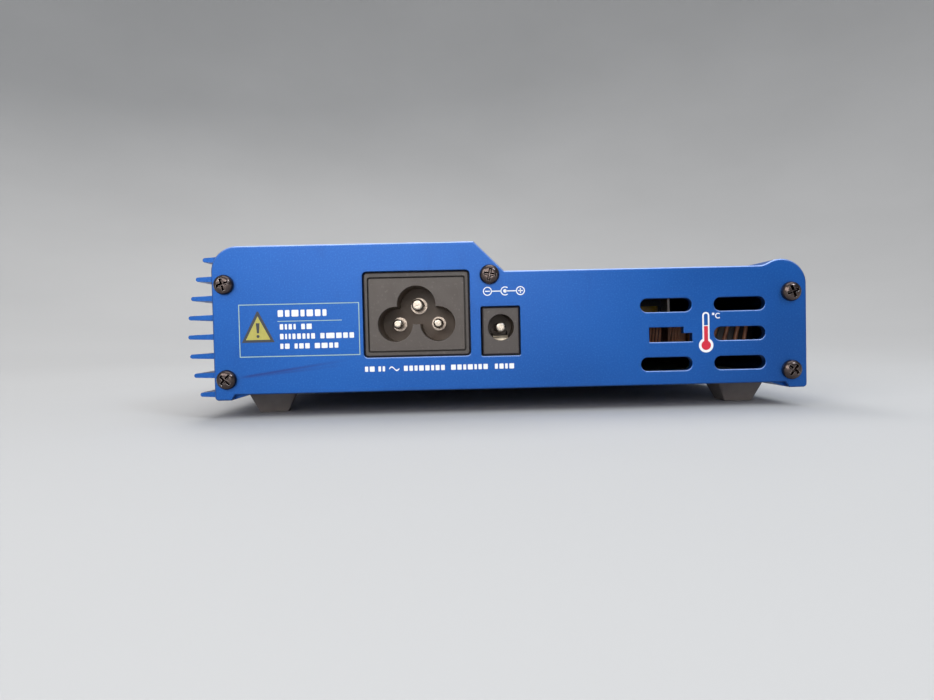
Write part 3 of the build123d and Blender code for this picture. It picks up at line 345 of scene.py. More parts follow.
def painted_rim_shade(n):
    """1 outside the groove round the inlet's face, 0 inside it: the rim that gets a painted shade."""
    centre = spot(*INLET_CENTRE, REAR_FACE)
    wide, tall = INLET_FACE
    reach = []
    for axis, middle, half in (("X", centre.x, wide / 2), ("Z", centre.z, tall / 2)):
        off = n.calc(n.calc(part_of(n, axis), middle, "SUBTRACT"), 0.0, "ABSOLUTE")
        reach.append(n.calc(off, half * MM, "DIVIDE"))
    return n.calc(n.calc(reach[0], reach[1], "MAXIMUM"), 1.0, "GREATER_THAN")


def behind(start, end):
    """A mask that goes from 0 to 1 between two distances, in millimetres, behind the rear face."""
    return lambda n: n.spread(part_of(n, "Y"), 0, 1, REAR_FACE - start * MM, REAR_FACE - end * MM)


def below(up):
    """A mask that is 1 under a height over the case's underside, in millimetres."""
    return lambda n: n.spread(part_of(n, "Z"), 1, 0, UNDERSIDE + up * MM, UNDERSIDE + (up + 0.3) * MM)


def plated(name, color, rough, wear_color, wear=0.5, marks=0.000008, masks=()):
    """A plated or blackened metal, lighter on its edges. marks is the depth of its marks in metres."""
    n = Nodes(name)
    n.set(metallic=1.0)
    cloud = n.spread(n.noise(700, 4), 0, 1)
    tone = n.mix(cloud, tuple(c * 0.7 for c in color), color)
    mask = n.calc(n.edges(0.00018, 2.5), n.spread(n.noise(1500, 3), 0.2, 1, 0.35, 0.65), "MULTIPLY")
    tone = n.mix(n.calc(mask, wear, "MULTIPLY"), tone, wear_color)
    for where, other in masks:
        tone = n.mix(where(n), tone, other)
    n.join(tone, n.shader.inputs["Base Color"])
    n.join(n.spread(n.noise(900, 3), rough * 0.8, rough * 1.3), n.shader.inputs["Roughness"])
    n.bump(n.noise(1700, 3), marks, bevel=0.00008)
    return n.material


DUST = (0.35, 0.33, 0.30)


def moulded(name, color, rough, masks=()):
    """Moulded plastic with a fine satin grain and paler edges, the paler edges being a painted highlight.
    masks are (mask, colour) pairs.
    """
    n = Nodes(name)
    n.set(ior=1.5)
    cloud = n.spread(n.noise(120, 4), 0, 1)
    tone = n.mix(cloud, tuple(c * 0.88 for c in color), color)
    for where, other in masks:
        tone = n.mix(where(n), tone, other)
    # Painted highlight: every edge is made paler, as if catching the light.
    edge = n.edges(0.0002, 3.0)
    tone = n.mix(n.calc(edge, 0.3, "MULTIPLY"), tone, tuple(min(1.0, c * 2.0) for c in color))
    specks = n.spread(n.noise(1500, 6), 0, 0.12, 0.60, 0.75)
    tone = n.mix(specks, tone, DUST)
    n.join(tone, n.shader.inputs["Base Color"])
    n.join(n.spread(n.noise(340, 4), rough * 0.85, rough * 1.15), n.shader.inputs["Roughness"])
    n.bump(n.noise(2200, 3), 0.00002, bevel=0.00015)
    return n.material


def ink(name, color, rough=0.5, glow=0.0):
    """Screen-printed ink, slightly uneven in cover."""
    n = Nodes(name)
    cover = n.spread(n.noise(1500, 4), 0, 1)
    tone = n.mix(cover, tuple(c * 0.88 for c in color), color)
    n.join(tone, n.shader.inputs["Base Color"])
    n.join(n.spread(n.noise(2200, 2), rough * 0.9, rough * 1.1), n.shader.inputs["Roughness"])
    n.bump(n.noise(4200, 2), 0.000004)
    if glow:
        n.join(tone, n.shader.inputs["Emission Color"])
        n.set(glow=glow)
    return n.material


def enamelled_wire(name, color):
    """Enamelled copper wire: a metal under a clear, slightly milky lacquer."""
    n = Nodes(name)
    n.set(metallic=0.35, ior=1.55, coat=0.2, coat_roughness=0.22)
    tone = n.mix(n.spread(n.noise(500, 4), 0, 1), tuple(c * 0.7 for c in color), color)
    n.join(tone, n.shader.inputs["Base Color"])
    n.join(n.spread(n.noise(900, 3), 0.42, 0.56), n.shader.inputs["Roughness"])
    n.bump(n.noise(1800, 2), 0.000012)
    return n.material


def circuit_board(name):
    """Green solder mask over copper tracks that show as lighter, slightly raised lines."""
    n = Nodes(name)
    n.set(ior=1.5)
    cells = n.add("ShaderNodeTexVoronoi", distance="MANHATTAN", feature="F1")
    cells.inputs["Scale"].default_value = 190
    cells.inputs["Randomness"].default_value = 0.55
    n.join(n.coordinates, cells.inputs["Vector"])
    tracks = n.spread(cells.outputs["Distance"], 0, 1, 0.42, 0.46)
    tone = n.mix(tracks, (0.006, 0.055, 0.022), (0.018, 0.13, 0.05))
    tone = n.mix(n.spread(n.noise(60, 5), 0, 0.35), tone, (0.01, 0.035, 0.015))
    n.join(tone, n.shader.inputs["Base Color"])
    n.join(n.spread(n.noise(300, 3), 0.28, 0.42), n.shader.inputs["Roughness"])
    n.bump(tracks, 0.00003)
    return n.material


def rubber(name):
    """Dull black rubber with a bloom of dust."""
    n = Nodes(name)
    n.set(ior=1.48)
    tone = n.mix(n.spread(n.noise(240, 5), 0, 1), (0.15, 0.13, 0.125), (0.19, 0.17, 0.16))
    tone = n.mix(n.spread(n.noise(1700, 4), 0, 0.3, 0.55, 0.78), tone, (0.16, 0.15, 0.14))
    n.join(tone, n.shader.inputs["Base Color"])
    n.join(n.spread(n.noise(420, 3), 0.62, 0.8), n.shader.inputs["Roughness"])
    n.bump(n.noise(1300, 4), 0.00004, bevel=0.0003)
    return n.material


# ---- Materials of the CAD nodes ------------------------------------------------------------------
# plated() takes a colour, a roughness and the colour where worn. moulded() takes a colour and a
# roughness. grained() takes a colour, its dark and light factors, a roughness, and the grain's
# fineness and depth. A mask's heights and distances are in millimetres.
CASE_BLUE = anodised("case_blue", 2.2)
# The rear panel also gets painted shade streaks and a painted highlight on edges that face up.
REAR_BLUE = anodised("rear_panel_blue", 0.0, bevel=0.00022, painted_light=True)
PANEL_BLUE = anodised("panel_blue", 0.0)
BLACK_NICKEL = plated("black_nickel", (0.112, 0.086, 0.080), 0.19, (0.74, 0.69, 0.68), 0.85, 0.00002)
NICKEL = plated("nickel", (0.66, 0.62, 0.56), 0.24, (0.85, 0.82, 0.76), 0.3)
# Painted shade: the pins' collars, deep in the inlet, are darker than their tips.
COLLAR_PAINTED_SHADE = (behind(11.4, 11.9), (0.42, 0.36, 0.31))
PIN_NICKEL = plated(
    "pin_nickel", (0.55, 0.49, 0.42), 0.28, (0.90, 0.84, 0.75), 0.4, 0.00005, masks=[COLLAR_PAINTED_SHADE]
)
LEAF_NICKEL = plated("leaf_nickel", (0.56, 0.49, 0.39), 0.50, (0.80, 0.72, 0.60), 0.4)
ZINC = plated("zinc", (0.48, 0.48, 0.46), 0.35, (0.72, 0.72, 0.70))
BRASS = plated("brass", (0.60, 0.42, 0.17), 0.28, (0.80, 0.62, 0.32))
GOLD = plated("gold_flash", (0.83, 0.58, 0.22), 0.22, (0.90, 0.72, 0.40))
PLAIN_ALUMINIUM = plated("plain_aluminium", (0.66, 0.66, 0.67), 0.40, (0.82, 0.82, 0.83))
# Painted shade: the heatsink is dark brown below 16.6 mm up, standing in for the shade inside the case
# seen through the slots.
LOW_PAINTED_SHADE = (below(16.6), (0.075, 0.040, 0.028))
DULL_ALUMINIUM = plated("dull_aluminium", (0.22, 0.20, 0.19), 0.55, (0.40, 0.38, 0.36), masks=[LOW_PAINTED_SHADE])
CONNECTOR = moulded("connector_black", (0.062, 0.050, 0.045), 0.42)
# Painted shade: the inlet's rim is darker. Painted light: the lobes are lighter and warmer from 2 to 9 mm
# deep, as if light reached in.
INLET_PAINTED_SHADE_AND_LIGHT = [(painted_rim_shade, (0.046, 0.038, 0.034)), (behind(2.0, 9.0), (0.15, 0.105, 0.075))]
INLET_BLACK = moulded("inlet_black", (0.064, 0.051, 0.044), 0.45, masks=INLET_PAINTED_SHADE_AND_LIGHT)
# Painted light: the jack's bore is lighter and warmer from 2 to 6 mm deep, as if light reached in.
JACK_PAINTED_LIGHT = [(behind(2.0, 6.0), (0.13, 0.095, 0.07))]
JACK_BLACK = moulded("jack_black", (0.052, 0.042, 0.038), 0.42, masks=JACK_PAINTED_LIGHT)
SWITCH = moulded("switch_black", (0.025, 0.025, 0.026), 0.38)
NYLON = moulded("nylon_white", (0.62, 0.60, 0.54), 0.45)
BOBBIN = moulded("bobbin_black", (0.030, 0.028, 0.026), 0.5)
FUSE = moulded("fuse_brown", (0.075, 0.030, 0.018), 0.4)
EPOXY = moulded("epoxy_black", (0.022, 0.022, 0.024), 0.55)
FILM_YELLOW = moulded("resin_yellow", (0.62, 0.45, 0.05), 0.3)
PVC_GREY = moulded("ribbon_grey", (0.30, 0.31, 0.33), 0.5)
LEAD_RED = moulded("lead_red", (0.42, 0.025, 0.02), 0.4)
RUBBER = rubber("foot_rubber")
KEY_RUBBER = grained("key_silicone", (0.19, 0.20, 0.22), 0.9, 1.1, 0.55, 1600, 0.00002, bevel=0.0003)
GLOSS_BLACK = grained(
    "overlay_gloss", (0.006, 0.006, 0.008), 0.8, 1.2, 0.09, 900, 0.000004, bevel=0.0002, ior=1.49
)
SCREEN = grained("screen_glass", (0.010, 0.014, 0.022), 0.8, 1.2, 0.07, 700, 0.000004, ior=1.5)
BOARD = circuit_board("board_green")
FILM = grained("sheet_film", (0.60, 0.57, 0.45), 0.9, 1.1, 0.35, 800, 0.00001, ior=1.6)
SLEEVE = grained("capacitor_sleeve", (0.012, 0.018, 0.045), 0.8, 1.2, 0.25, 500, 0.00002, bevel=0.0003)
FERRITE = grained("ferrite", (0.050, 0.050, 0.053), 0.8, 1.2, 0.6, 2400, 0.00006, bevel=0.0003)
CORE_PAINT = grained("core_paint", (0.030, 0.026, 0.026), 0.85, 1.2, 0.45, 1400, 0.00005, bevel=0.0004)
PAD = grained("pad_silicone", (0.33, 0.35, 0.38), 0.9, 1.1, 0.7, 1800, 0.00004)
COPPER = enamelled_wire("enamelled_copper", (0.42, 0.18, 0.10))
TAPE = grained("polyester_tape", (0.58, 0.36, 0.05), 0.9, 1.1, 0.25, 600, 0.00002, bevel=0.0002)

NODE_MATERIALS = {
    CASE_BLUE: ["case_profile"],
    REAR_BLUE: ["rear_panel"],
    PANEL_BLUE: ["front_panel"],
    BLACK_NICKEL: ["rear_screws", "front_screws"],
    NICKEL: ["socket_shell", "socket_nut"],
    PIN_NICKEL: ["inlet_power_pins", "inlet_earth_pin", "jack_pin"],
    LEAF_NICKEL: ["jack_leaf"],
    ZINC: ["control_board_screws", "spreader_screws"],
    BRASS: ["control_board_posts"],
    GOLD: ["socket_contacts"],
    PLAIN_ALUMINIUM: ["heat_spreader"],
    DULL_ALUMINIUM: ["output_heatsink"],
    CONNECTOR: ["socket_insert"],
    JACK_BLACK: ["jack_body"],
    INLET_BLACK: ["inlet_body"],
    SWITCH: ["switch_bodies"] + [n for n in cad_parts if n.startswith("plunger_")],
    NYLON: ["socket_lead_header"],
    BOBBIN: ["transformer_bobbin"],
    FUSE: ["fuse"],
    EPOXY: ["bridge_rectifier", "power_transistors"],
    FILM_YELLOW: ["suppression_capacitor"],
    PVC_GREY: ["control_ribbon"],
    LEAD_RED: ["socket_leads"],
    RUBBER: [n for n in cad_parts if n.startswith("foot_")],
    KEY_RUBBER: [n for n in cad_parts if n.startswith("key_")],
    GLOSS_BLACK: ["front_overlay"],
    SCREEN: ["display_module"],
    BOARD: ["main_board", "control_board"],
    FILM: ["insulating_sheet"],
    SLEEVE: ["bulk_capacitors", "output_capacitors"],
    FERRITE: ["mains_choke_core", "transformer_core"],
    CORE_PAINT: ["output_choke_core"],
    PAD: ["thermal_pad"],
    COPPER: ["mains_choke_winding", "output_choke_winding"],
    TAPE: ["transformer_winding"],
}


def dress_nodes():
    """Puts each CAD node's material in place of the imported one."""
    for mat, nodes in NODE_MATERIALS.items():
        for node in nodes:
            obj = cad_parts[node]
            for material_slot in obj.material_slots:
                material_slot.material = mat


# ---- Printing on the rear panel ------------------------------------------------------------------
WHITE_INK = ink("ink_white", (0.80, 0.81, 0.82))
FRAME_INK = ink("ink_frame", (0.32, 0.46, 0.42))
YELLOW_INK = ink("ink_yellow", (0.42, 0.38, 0.075))
DARK_INK = ink("ink_dark", (0.025, 0.03, 0.04))
RED_INK = ink("ink_red", (0.56, 0.006, 0.030))
GLOW = ink("screen_glow", (0.30, 0.75, 0.95), 0.4, 1.6)
GLOW_AMBER = ink("screen_amber", (0.95, 0.55, 0.12), 0.4, 1.2)
SCREEN_TINT = ink("screen_window", (0.012, 0.020, 0.032), 0.12)
KEY_INK = ink("key_ink", (0.80, 0.82, 0.84))

letter_widths = random.Random(7)


def word_marks(left, right, low, high, letters):
    """Upright dashes the size of letters, which stand for a word without spelling one."""
    gap = 0.30 * (high - low)
    widths = [letter_widths.uniform(0.6, 1.4) for _ in range(letters)]
    unit = (right - left - gap * (letters - 1)) / sum(widths)
    marks = []
    at = left
    for width in widths:
        marks.append(rounded(at, low, at + width * unit, high, 0.12 * (high - low), 3))
        at += width * unit + gap
    return marks


# Each line of words as its low and high edge, then each word's left and right edge and its letters.
LABEL_WORDS = (
    (18.4, 20.0, ((15.8, 27.4, 7),)),
    (15.35, 16.65, ((16.2, 20.0, 4), (21.3, 23.8, 2))),
    (13.05, 14.35, ((16.2, 24.5, 8), (25.8, 33.8, 5))),
    (10.75, 12.0, ((16.2, 18.4, 2), (19.6, 23.2, 3), (24.4, 30.0, 4))),
)
RATING_WORDS = (
    (4.8, 6.05, ((36.2, 38.5, 2), (39.4, 41.0, 2), (45.5, 55.3, 8), (56.8, 65.6, 7), (67.3, 71.9, 4))),
)


def lines_of_words(lines):
    """The marks of several lines of words."""
    marks = []
    for low, high, words in lines:
        for left, right, letters in words:
            marks += word_marks(left, right, low, high, letters)
    return marks


def print_warning_label():
    """A framed generic label: a triangle with a mark, a rule and lines of letter-sized blocks."""
    left, low, right, high = 6.5, 8.9, 35.2, 21.5
    rule = (15.7, 17.25, 31.0, 17.42)
    line = 0.20
    printed(
        "label_frame",
        [
            rectangle(left, low, right, low + line),
            rectangle(left, high - line, right, high),
            rectangle(left, low + line, left + line, high - line),
            rectangle(right - line, low + line, right, high - line),
            rectangle(*rule),
        ],
        FRAME_INK,
        REAR_FACE,
    )
    middle, apex, base, half, tip = 11.0, 19.8, 12.4, 3.9, 0.15
    edge = [(middle - half, base), (middle + half, base), (middle + tip, apex), (middle - tip, apex)]
    printed("label_triangle_edge", [edge], DARK_INK, REAR_FACE)
    inset = 0.62
    inner = half - inset * 1.6
    foot = base + inset
    yellow = [(middle - inner, foot), (middle + inner, foot), (middle, apex - inset * 1.9)]
    printed("label_triangle", [yellow], YELLOW_INK, REAR_FACE + PRINT_RISE)
    bar_low, bar_high, narrow, wide = 14.6, 17.0, 0.25, 0.45
    bar = [
        (middle - narrow, bar_low),
        (middle + narrow, bar_low),
        (middle + wide, bar_high),
        (middle - wide, bar_high),
    ]
    dot = circle((middle, 13.85), 0.36, 16)
    printed("label_mark", [bar, dot], DARK_INK, REAR_FACE + 2 * PRINT_RISE)
    printed("label_words", lines_of_words(LABEL_WORDS), WHITE_INK, REAR_FACE)


def print_rating_line():
    """Letter-sized blocks under the inlets, with the sign for alternating current."""
    words = lines_of_words(RATING_WORDS)
    start, middle, length, swing, half, steps = 42.0, 5.4, 2.4, 0.42, 0.16, 16
    wave = []
    for i in range(steps + 1):
        wave.append((start + length * i / steps, middle + swing * math.sin(2 * math.pi * i / steps)))
    band = [(a, u + half) for a, u in wave] + [(a, u - half) for a, u in wave[::-1]]
    printed("rating_words", words + [band], WHITE_INK, REAR_FACE)


def print_polarity():
    """The sign for a barrel plug whose centre is positive."""
    up = 23.4
    minus, middle, plus = 65.9, 70.1, 73.8
    ring = (0.84, 1.07)
    reach, arm, thin = 1.1, 0.45, 0.24
    marks = [
        arc_band((minus, up), *ring),
        arc_band((plus, up), *ring),
        arc_band((middle, up), *ring, 50, 260),
        circle((middle, up), 0.42, 20),
        stroke((minus + reach, up), (middle - reach, up), thin),
        stroke((middle + 0.3, up), (plus - reach, up), thin),
        stroke((minus - arm, up), (minus + arm, up), thin),
        stroke((plus - arm, up), (plus + arm, up), thin),
        stroke((plus, up - arm), (plus, up + arm), thin),
    ]
    printed("polarity_sign", marks, WHITE_INK, REAR_FACE)


def print_thermometer():
    """A thermometer sign between the cooling slots, with the unit beside it."""
    middle, bulb, top = 118.3, 9.3, 16.45
    tube, ball = 0.84, 1.74
    join = math.degrees(math.asin(tube / ball))
    outer = circle((middle, bulb), ball, 40, 90 + join, 360 - 2 * join)
    outer += circle((middle, top), tube, 16, 0, 180)
    printed("thermometer_outline", [outer], WHITE_INK, REAR_FACE)
    inner_tube, inner_ball = 0.47, 1.14
    join = math.degrees(math.asin(inner_tube / inner_ball))
    column = circle((middle, bulb), inner_ball, 32, 90 + join, 360 - 2 * join)
    column += [(middle + inner_tube, 13.9), (middle - inner_tube, 13.9)]
    printed("thermometer_red", [column], RED_INK, REAR_FACE + PRINT_RISE)
    empty = [(middle - inner_tube, 14.1), (middle + inner_tube, 14.1)]
    empty += circle((middle, top), inner_tube, 12, 0, 180)
    printed("thermometer_empty", [empty], PANEL_BLUE, REAR_FACE + PRINT_RISE)
    printed(
        "thermometer_unit",
        [circle((120.1, 16.8), 0.3, 16), arc_band((121.25, 16.35), 0.46, 0.68, 45, 270)],
        WHITE_INK,
        REAR_FACE,
    )


# ---- Display and key signs -------------------------------------------------------------------
# Width, height and stroke of the digits.
BIG_DIGIT = (6.6, 10.4, 1.35)
SMALL_DIGIT = (1.7, 2.9, 0.42)
KEY_DIGIT = (1.6, 2.7, 0.36)
DIGIT_PITCH = 1.42  # from one digit to the next, in digit widths
SEGMENTS = {
    "0": "abcdef",
    "1": "bc",
    "2": "abged",
    "3": "abgcd",
    "5": "afgcd",
}


def digit_marks(digit, left, low, wide, tall, thick):
    """A seven-segment digit as seen from the front, where across runs from right to left."""
    right = left - wide
    high, mid = low + tall, low + tall / 2
    gap = thick * 0.75
    bars = {
        "a": ((left - gap, high), (right + gap, high)),
        "g": ((left - gap, mid), (right + gap, mid)),
        "d": ((left - gap, low), (right + gap, low)),
        "f": ((left, mid + gap), (left, high - gap)),
        "b": ((right, mid + gap), (right, high - gap)),
        "e": ((left, low + gap), (left, mid - gap)),
        "c": ((right, low + gap), (right, mid - gap)),
    }
    return [stroke(*bars[s], thick) for s in SEGMENTS[digit]]


def number_marks(text, left, low, wide, tall, thick):
    """A row of seven-segment digits."""
    marks = []
    for i, digit in enumerate(text):
        marks += digit_marks(digit, left - i * wide * DIGIT_PITCH, low, wide, tall, thick)
    return marks


def print_display():
    """The dark window on the overlay over the display, and the lit figures in it."""
    display_low, display_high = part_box("display_module")
    left = (FIN_WALL - display_low.x) / MM
    right = (FIN_WALL - display_high.x) / MM
    low = (display_low.z - UNDERSIDE) / MM
    high = (display_high.z - UNDERSIDE) / MM
    rim = 1.2
    window = rounded(right + rim, low + rim, left - rim, high - rim, 0.8)
    printed("display_window", [window], SCREEN_TINT, OVERLAY_FACE)
    face = OVERLAY_FACE - PRINT_RISE
    figures = number_marks("350", left - 5.0, low + 8.0, *BIG_DIGIT)
    printed("display_temperature", figures, GLOW, face)
    across, up = left - 33.4, high - 6.0
    unit = [arc_band((across, up), 0.55, 0.95), arc_band((across - 2.6, up - 1.2), 1.0, 1.6, -135, 270)]
    printed("display_unit", unit, GLOW, face)
    setting = number_marks("320", left - 34.2, low + 8.2, *SMALL_DIGIT)
    printed("display_setting", setting, GLOW_AMBER, face)
    start, pitch, wide, count = left - 4.2, 2.1, 1.5, 11
    bars = []
    for i in range(count):
        at = start - pitch * i
        bars.append(rectangle(at - wide, low + 3.4, at, low + 5.0))
    printed("display_power_bar", bars, GLOW_AMBER, face)


def key_centre(name):
    """The (across, up) middle of a key and the Y of its face."""
    low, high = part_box(name)
    middle = (low + high) / 2
    return (FIN_WALL - middle.x) / MM, (middle.z - UNDERSIDE) / MM, low.y


KEY_ARM = 1.2


def print_key_signs():
    """Signs on the six keys: power, minus, plus and the numbers of the presets."""
    for key in ("power", "minus", "plus", "preset_1", "preset_2", "preset_3"):
        across, up, face = key_centre(f"key_{key}")
        wide, tall, thick = KEY_DIGIT
        minus = stroke((across - KEY_ARM, up), (across + KEY_ARM, up), thick)
        if key == "power":
            marks = [
                arc_band((across, up - 0.1), 1.05, 1.4, 125, 290),
                stroke((across, up + 0.3), (across, up + 1.35), thick),
            ]
        elif key == "minus":
            marks = [minus]
        elif key == "plus":
            marks = [minus, stroke((across, up - KEY_ARM), (across, up + KEY_ARM), thick)]
        else:
            marks = digit_marks(key[-1], across + wide / 2, up - tall / 2, wide, tall, thick)
        printed(f"sign_{key}", marks, KEY_INK, face, body=f"{key}_key")


# ---- Windings ------------------------------------------------------------------------------------
def wire_curve(name, points, radius):
    """A wire through the given points."""
    data = bpy.data.curves.new(name, "CURVE")
    data.dimensions = "3D"
    data.bevel_depth = radius
    data.bevel_resolution = 3
    data.use_fill_caps = True
    spline = data.splines.new("POLY")
    spline.points.add(len(points) - 1)
    for point, place in zip(spline.points, points):
        point.co = (*place, 1)
    return add_object(name, data, COPPER)


# For each choke: its (across, distance behind the case's rear end), core height, core radii, wire
# thickness, and for each winding its start angle, its turn and how many times the wire goes round.
CHOKES = {
    "mains_choke_winding": [((22.0, 13.5), 8.0, (4.6, 8.2), 1.1, [(15, 140, 9), (195, 140, 9)])],
    "output_choke_winding": [
        ((128.9, 17.5), 7.0, (4.6, 8.2), 1.1, [(183, 299, 17)]),
        ((112.4, 15.2), 5.0, (2.9, 5.6), 0.7, [(-80, 340, 42)]),
    ],
}
BOARD_UP = 8.1  # the main board's top face
PANEL_THICK = 2.0
WIRE_SLACK = 0.94  # so that neighbouring turns don't touch
TURN_STEPS = 4  # points at each corner of a turn
CORNER_SHARE = 0.1  # of the way to the next turn, made over a corner and the stretch after it


def turn_path(half_height, inner, outer, strand):
    """One turn round a core's section as (radius, height, share of the way to the next turn).

    It starts at the outer top corner. The rest of the way is made on the core's outside, going back up.
    """
    grow = strand / 2
    low, high = -half_height - grow, half_height + grow
    loop = rounded(inner - grow, low, outer + grow, high, grow * 1.1, TURN_STEPS)
    path = []
    for i, (radius, height) in enumerate(loop):
        corner, step = divmod(i, TURN_STEPS)
        share = CORNER_SHARE * (corner + 0.25 * step / (TURN_STEPS - 1))
        path.append((radius, height, share))
    return path


def round_core(angle, radius, height):
    """An offset from a core's centre, from an angle in degrees and a radius and height in millimetres."""
    turn = math.radians(angle)
    return Vector((math.cos(turn) * radius, math.sin(turn) * radius, height)) * MM


def wind_toroids(node):
    """Replaces a node's solid windings with turns of wire round the cores, which lie flat."""
    for choke, (place, tall, (inner, outer), strand, arcs) in enumerate(CHOKES[node]):
        across, back = place
        centre = spot(across, BOARD_UP + strand + tall / 2, REAR_FACE - (PANEL_THICK + back) * MM)
        path = turn_path(tall / 2, inner, outer, strand)
        for arc, (start, turn, rounds) in enumerate(arcs):
            points = []
            for k in range(rounds):
                for radius, height, share in path:
                    angle = start + turn * (k + share) / rounds
                    points.append(centre + round_core(angle, radius, height))
            points.append(centre + round_core(start + turn, outer + strand / 2, tall / 2))
            wire = wire_curve(f"{node}_{choke + 1}_{arc + 1}", points, strand / 2 * MM * WIRE_SLACK)
            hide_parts(node)


# The spring's line from its rear end to its front lip: distance behind the rear face, and height.
LEAF_LINE = (
    (10.0, 11.30),
    (8.2, 11.55),
    (6.7, 12.05),
    (5.7, 12.45),
    (4.9, 12.68),
    (4.3, 12.72),
    (3.9, 12.64),
    (3.65, 12.38),
    (3.5, 12.00),
    (3.42, 11.60),
    (3.4, 11.15),
)
LEAF_THICK = 0.22


def bend_leaf():
    """Replaces the jack's plain leaf with a bowed spring strip that ends in a turned-down lip."""
    low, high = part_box("jack_leaf")
    sides = (low.x, high.x)
    bm = bmesh.new()
    rows = []
    for i, (back, up) in enumerate(LEAF_LINE):
        before = LEAF_LINE[max(i - 1, 0)]
        after = LEAF_LINE[min(i + 1, len(LEAF_LINE) - 1)]
        normal = Vector((after[1] - before[1], before[0] - after[0])).normalized() * LEAF_THICK / 2
        top = (back - normal.x, up + normal.y)
        under = (back + normal.x, up - normal.y)
        row = []
        for side, (depth, height) in ((0, under), (1, under), (1, top), (0, top)):
            row.append(bm.verts.new((sides[side], REAR_FACE - depth * MM, UNDERSIDE + height * MM)))
        rows.append(row)
    for first, second in zip(rows, rows[1:]):
        for i in range(4):
            j = (i + 1) % 4
            bm.faces.new((first[i], first[j], second[j], second[i]))
    bm.faces.new(rows[0])
    bm.faces.new(rows[-1])
    mesh = mesh_from("jack_leaf_spring", bm, 35)
    spring = add_object("jack_leaf_spring", mesh, LEAF_NICKEL)
    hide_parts("jack_leaf")


TRANSFORMER_STRAND = 0.62 * MM
TRANSFORMER_CORNER = 3.6 * MM
TAPE_WIDTH = 2.8 * MM
TAPE_THICK = 0.4 * MM
TAPE_GAP = 0.1 * MM


def wind_transformer():
    """Replaces the transformer's solid winding with turns of wire and a band of tape."""
    low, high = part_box("transformer_winding")
    centre = (low + high) / 2
    strand = TRANSFORMER_STRAND
    half = (high - low) / 2
    turns = int((high.z - low.z) / strand)
    reach_x = half.x - strand / 2
    reach_y = half.y - strand / 2
    loop = rounded(-reach_x, -reach_y, reach_x, reach_y, TRANSFORMER_CORNER, 6)
    points = []
    for k in range(turns * len(loop)):
        x, y = loop[k % len(loop)]
        z = low.z + strand / 2 + (high.z - low.z - strand) * k / (turns * len(loop))
        points.append(Vector((centre.x + x, centre.y + y, z)))
    wire = wire_curve("transformer_winding_wire", points, strand / 2)
    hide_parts("transformer_winding")
    bm = bmesh.new()
    outer = rounded(-half.x, -half.y, half.x, half.y, TRANSFORMER_CORNER + 0.3 * MM, 8)
    rings = []
    top = high.z - TAPE_GAP
    bottom = top - TAPE_WIDTH
    for z, shrink in ((bottom, 0.0), (top, 0.0), (top, TAPE_THICK), (bottom, TAPE_THICK)):
        across = (half.x - shrink) / half.x
        along = (half.y - shrink) / half.y
        ring = [bm.verts.new((centre.x + x * across, centre.y + y * along, z)) for x, y in outer]
        rings.append(ring)
    for i in range(4):
        first, second = rings[i], rings[(i + 1) % 4]
        for j in range(len(outer)):
            k = (j + 1) % len(outer)
            bm.faces.new((first[j], first[k], second[k], second[j]))
    add_object("transformer_tape", mesh_from("transformer_tape", bm, 40), TAPE)


# ---- Stage, camera and lights --------------------------------------------------------------------
CAMERA_SPOT = (58.23, 14.03)  # where the camera's perpendicular meets the rear panel
CAMERA_DISTANCE = 0.1681
CAMERA_TURNS = (-1.552, -0.842, -1.304)  # degrees about its right, up and view axes
FOCAL_PIXELS = 702
IMAGE_WIDTH = 934
SENSOR = 36.0


def make_camera():
    """A phone-like camera square to the rear panel, a little turned."""
    data = bpy.data.cameras.new("camera")
    data.sensor_width = SENSOR
    data.lens = FOCAL_PIXELS / IMAGE_WIDTH * SENSOR
    data.clip_start = 0.005
    camera = bpy.data.objects.new("camera", data)
    right, up, out = (math.radians(t) for t in CAMERA_TURNS)
    facing = Matrix(((-1, 0, 0), (0, 0, 1), (0, 1, 0)))
    turn = Matrix.Rotation(up, 3, "Y") @ Matrix.Rotation(right, 3, "X") @ Matrix.Rotation(out, 3, "Z")
    camera.matrix_world = (facing @ turn).to_4x4()
    camera.location = spot(*CAMERA_SPOT, REAR_FACE + CAMERA_DISTANCE)
    bpy.context.scene.collection.objects.link(camera)
    bpy.context.scene.camera = camera


def make_light(name, place, target, size, power, color=(1, 1, 1), size_y=None):
    """An area light aimed at a point. Only its light is seen, not its panel."""
    data = bpy.data.lights.new(name, "AREA")
    data.shape = "RECTANGLE"
    data.size = size
    data.size_y = size_y or size
    data.energy = power
    data.color = color
    light = bpy.data.objects.new(name, data)
    light.location = place
    light.rotation_mode = "QUATERNION"
    light.rotation_quaternion = (Vector(target) - Vector(place)).to_track_quat("-Z", "Y")
    light.visible_camera = False
    bpy.context.scene.collection.objects.link(light)


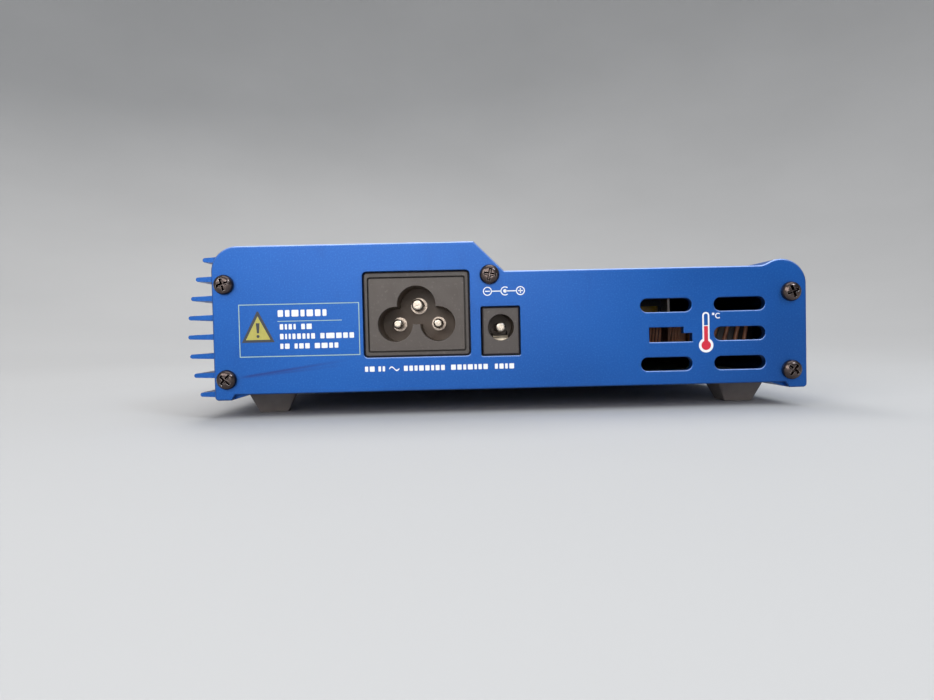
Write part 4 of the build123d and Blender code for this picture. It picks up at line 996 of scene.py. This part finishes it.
def make_floor():
    """A plain pale floor that is flat under the station and sweeps up all round it, like a wide bowl."""
    n = Nodes("floor")
    tone = n.mix(n.spread(n.noise(3, 4), 0, 1), (0.43, 0.43, 0.43), (0.46, 0.46, 0.46))
    n.join(tone, n.shader.inputs["Base Color"])
    n.set(roughness=0.8)
    flat, sweep, wall, segments = 0.36, 1.60, 0.3, 128
    profile = [(flat * i / 4, 0.0) for i in range(1, 5)]
    for angle in range(3, 91, 3):
        turn = math.radians(angle)
        profile.append((flat + sweep * math.sin(turn), sweep * (1 - math.cos(turn))))
    profile.append((flat + sweep, sweep + wall))
    bm = bmesh.new()
    rings = []
    for radius, z in profile:
        turns = (2 * math.pi * i / segments for i in range(segments))
        rings.append([bm.verts.new((radius * math.cos(t), radius * math.sin(t), z)) for t in turns])
    bm.faces.new(rings[0])
    for first, second in zip(rings, rings[1:]):
        for i in range(segments):
            j = (i + 1) % segments
            bm.faces.new((first[i], first[j], second[j], second[i]))
    floor = bpy.data.objects.new("floor", mesh_from("floor", bm, 60))
    floor.data.materials.append(n.material)
    bpy.context.scene.collection.objects.link(floor)


def light_stage():
    """Soft studio lights, strongest from the fin side of the rear, and a pale surround."""
    world = bpy.data.worlds.new("surround")
    world.use_nodes = True
    background = world.node_tree.nodes["Background"]
    background.inputs["Color"].default_value = (0.66, 0.68, 0.71, 1)
    background.inputs["Strength"].default_value = 0.85
    bpy.context.scene.world = world
    rear = (0, REAR_FACE, 0.02)
    # Name, place, target, size, power, colour and, if not square, height.
    make_light("key", (0.50, 0.56, 0.36), rear, 0.40, 2.0, (1.0, 0.97, 0.93))
    make_light("fill", (0.16, 0.80, 0.34), rear, 0.55, 1.6, (1.0, 0.97, 0.94), 0.42)
    make_light("near", (0.04, 0.58, 0.13), rear, 0.34, 0.55, (1.0, 0.96, 0.92), 0.17)
    make_light("window", (-0.30, 0.42, 0.40), rear, 0.16, 1.2, (0.80, 0.90, 1.0))
    make_light("top", (-0.10, 0.05, 1.10), (-0.10, 0.05, 0), 1.0, 4.5, (0.97, 0.98, 1.0))
    make_light("front", (0.30, -0.70, 1.10), (0, -0.08, 0.02), 0.5, 5.0, (1.0, 0.98, 0.96))
    make_light("backdrop", (0.0, -0.35, 1.2), (0.0, -1.2, 0.4), 0.8, 4.0)
    bpy.context.scene.view_settings.view_transform = "Standard"


make_camera()
dress_nodes()
print_warning_label()
print_rating_line()
print_polarity()
print_thermometer()
print_display()
print_key_signs()
wind_toroids("output_choke_winding")
wind_toroids("mains_choke_winding")
bend_leaf()
wind_transformer()
make_floor()
light_stage()
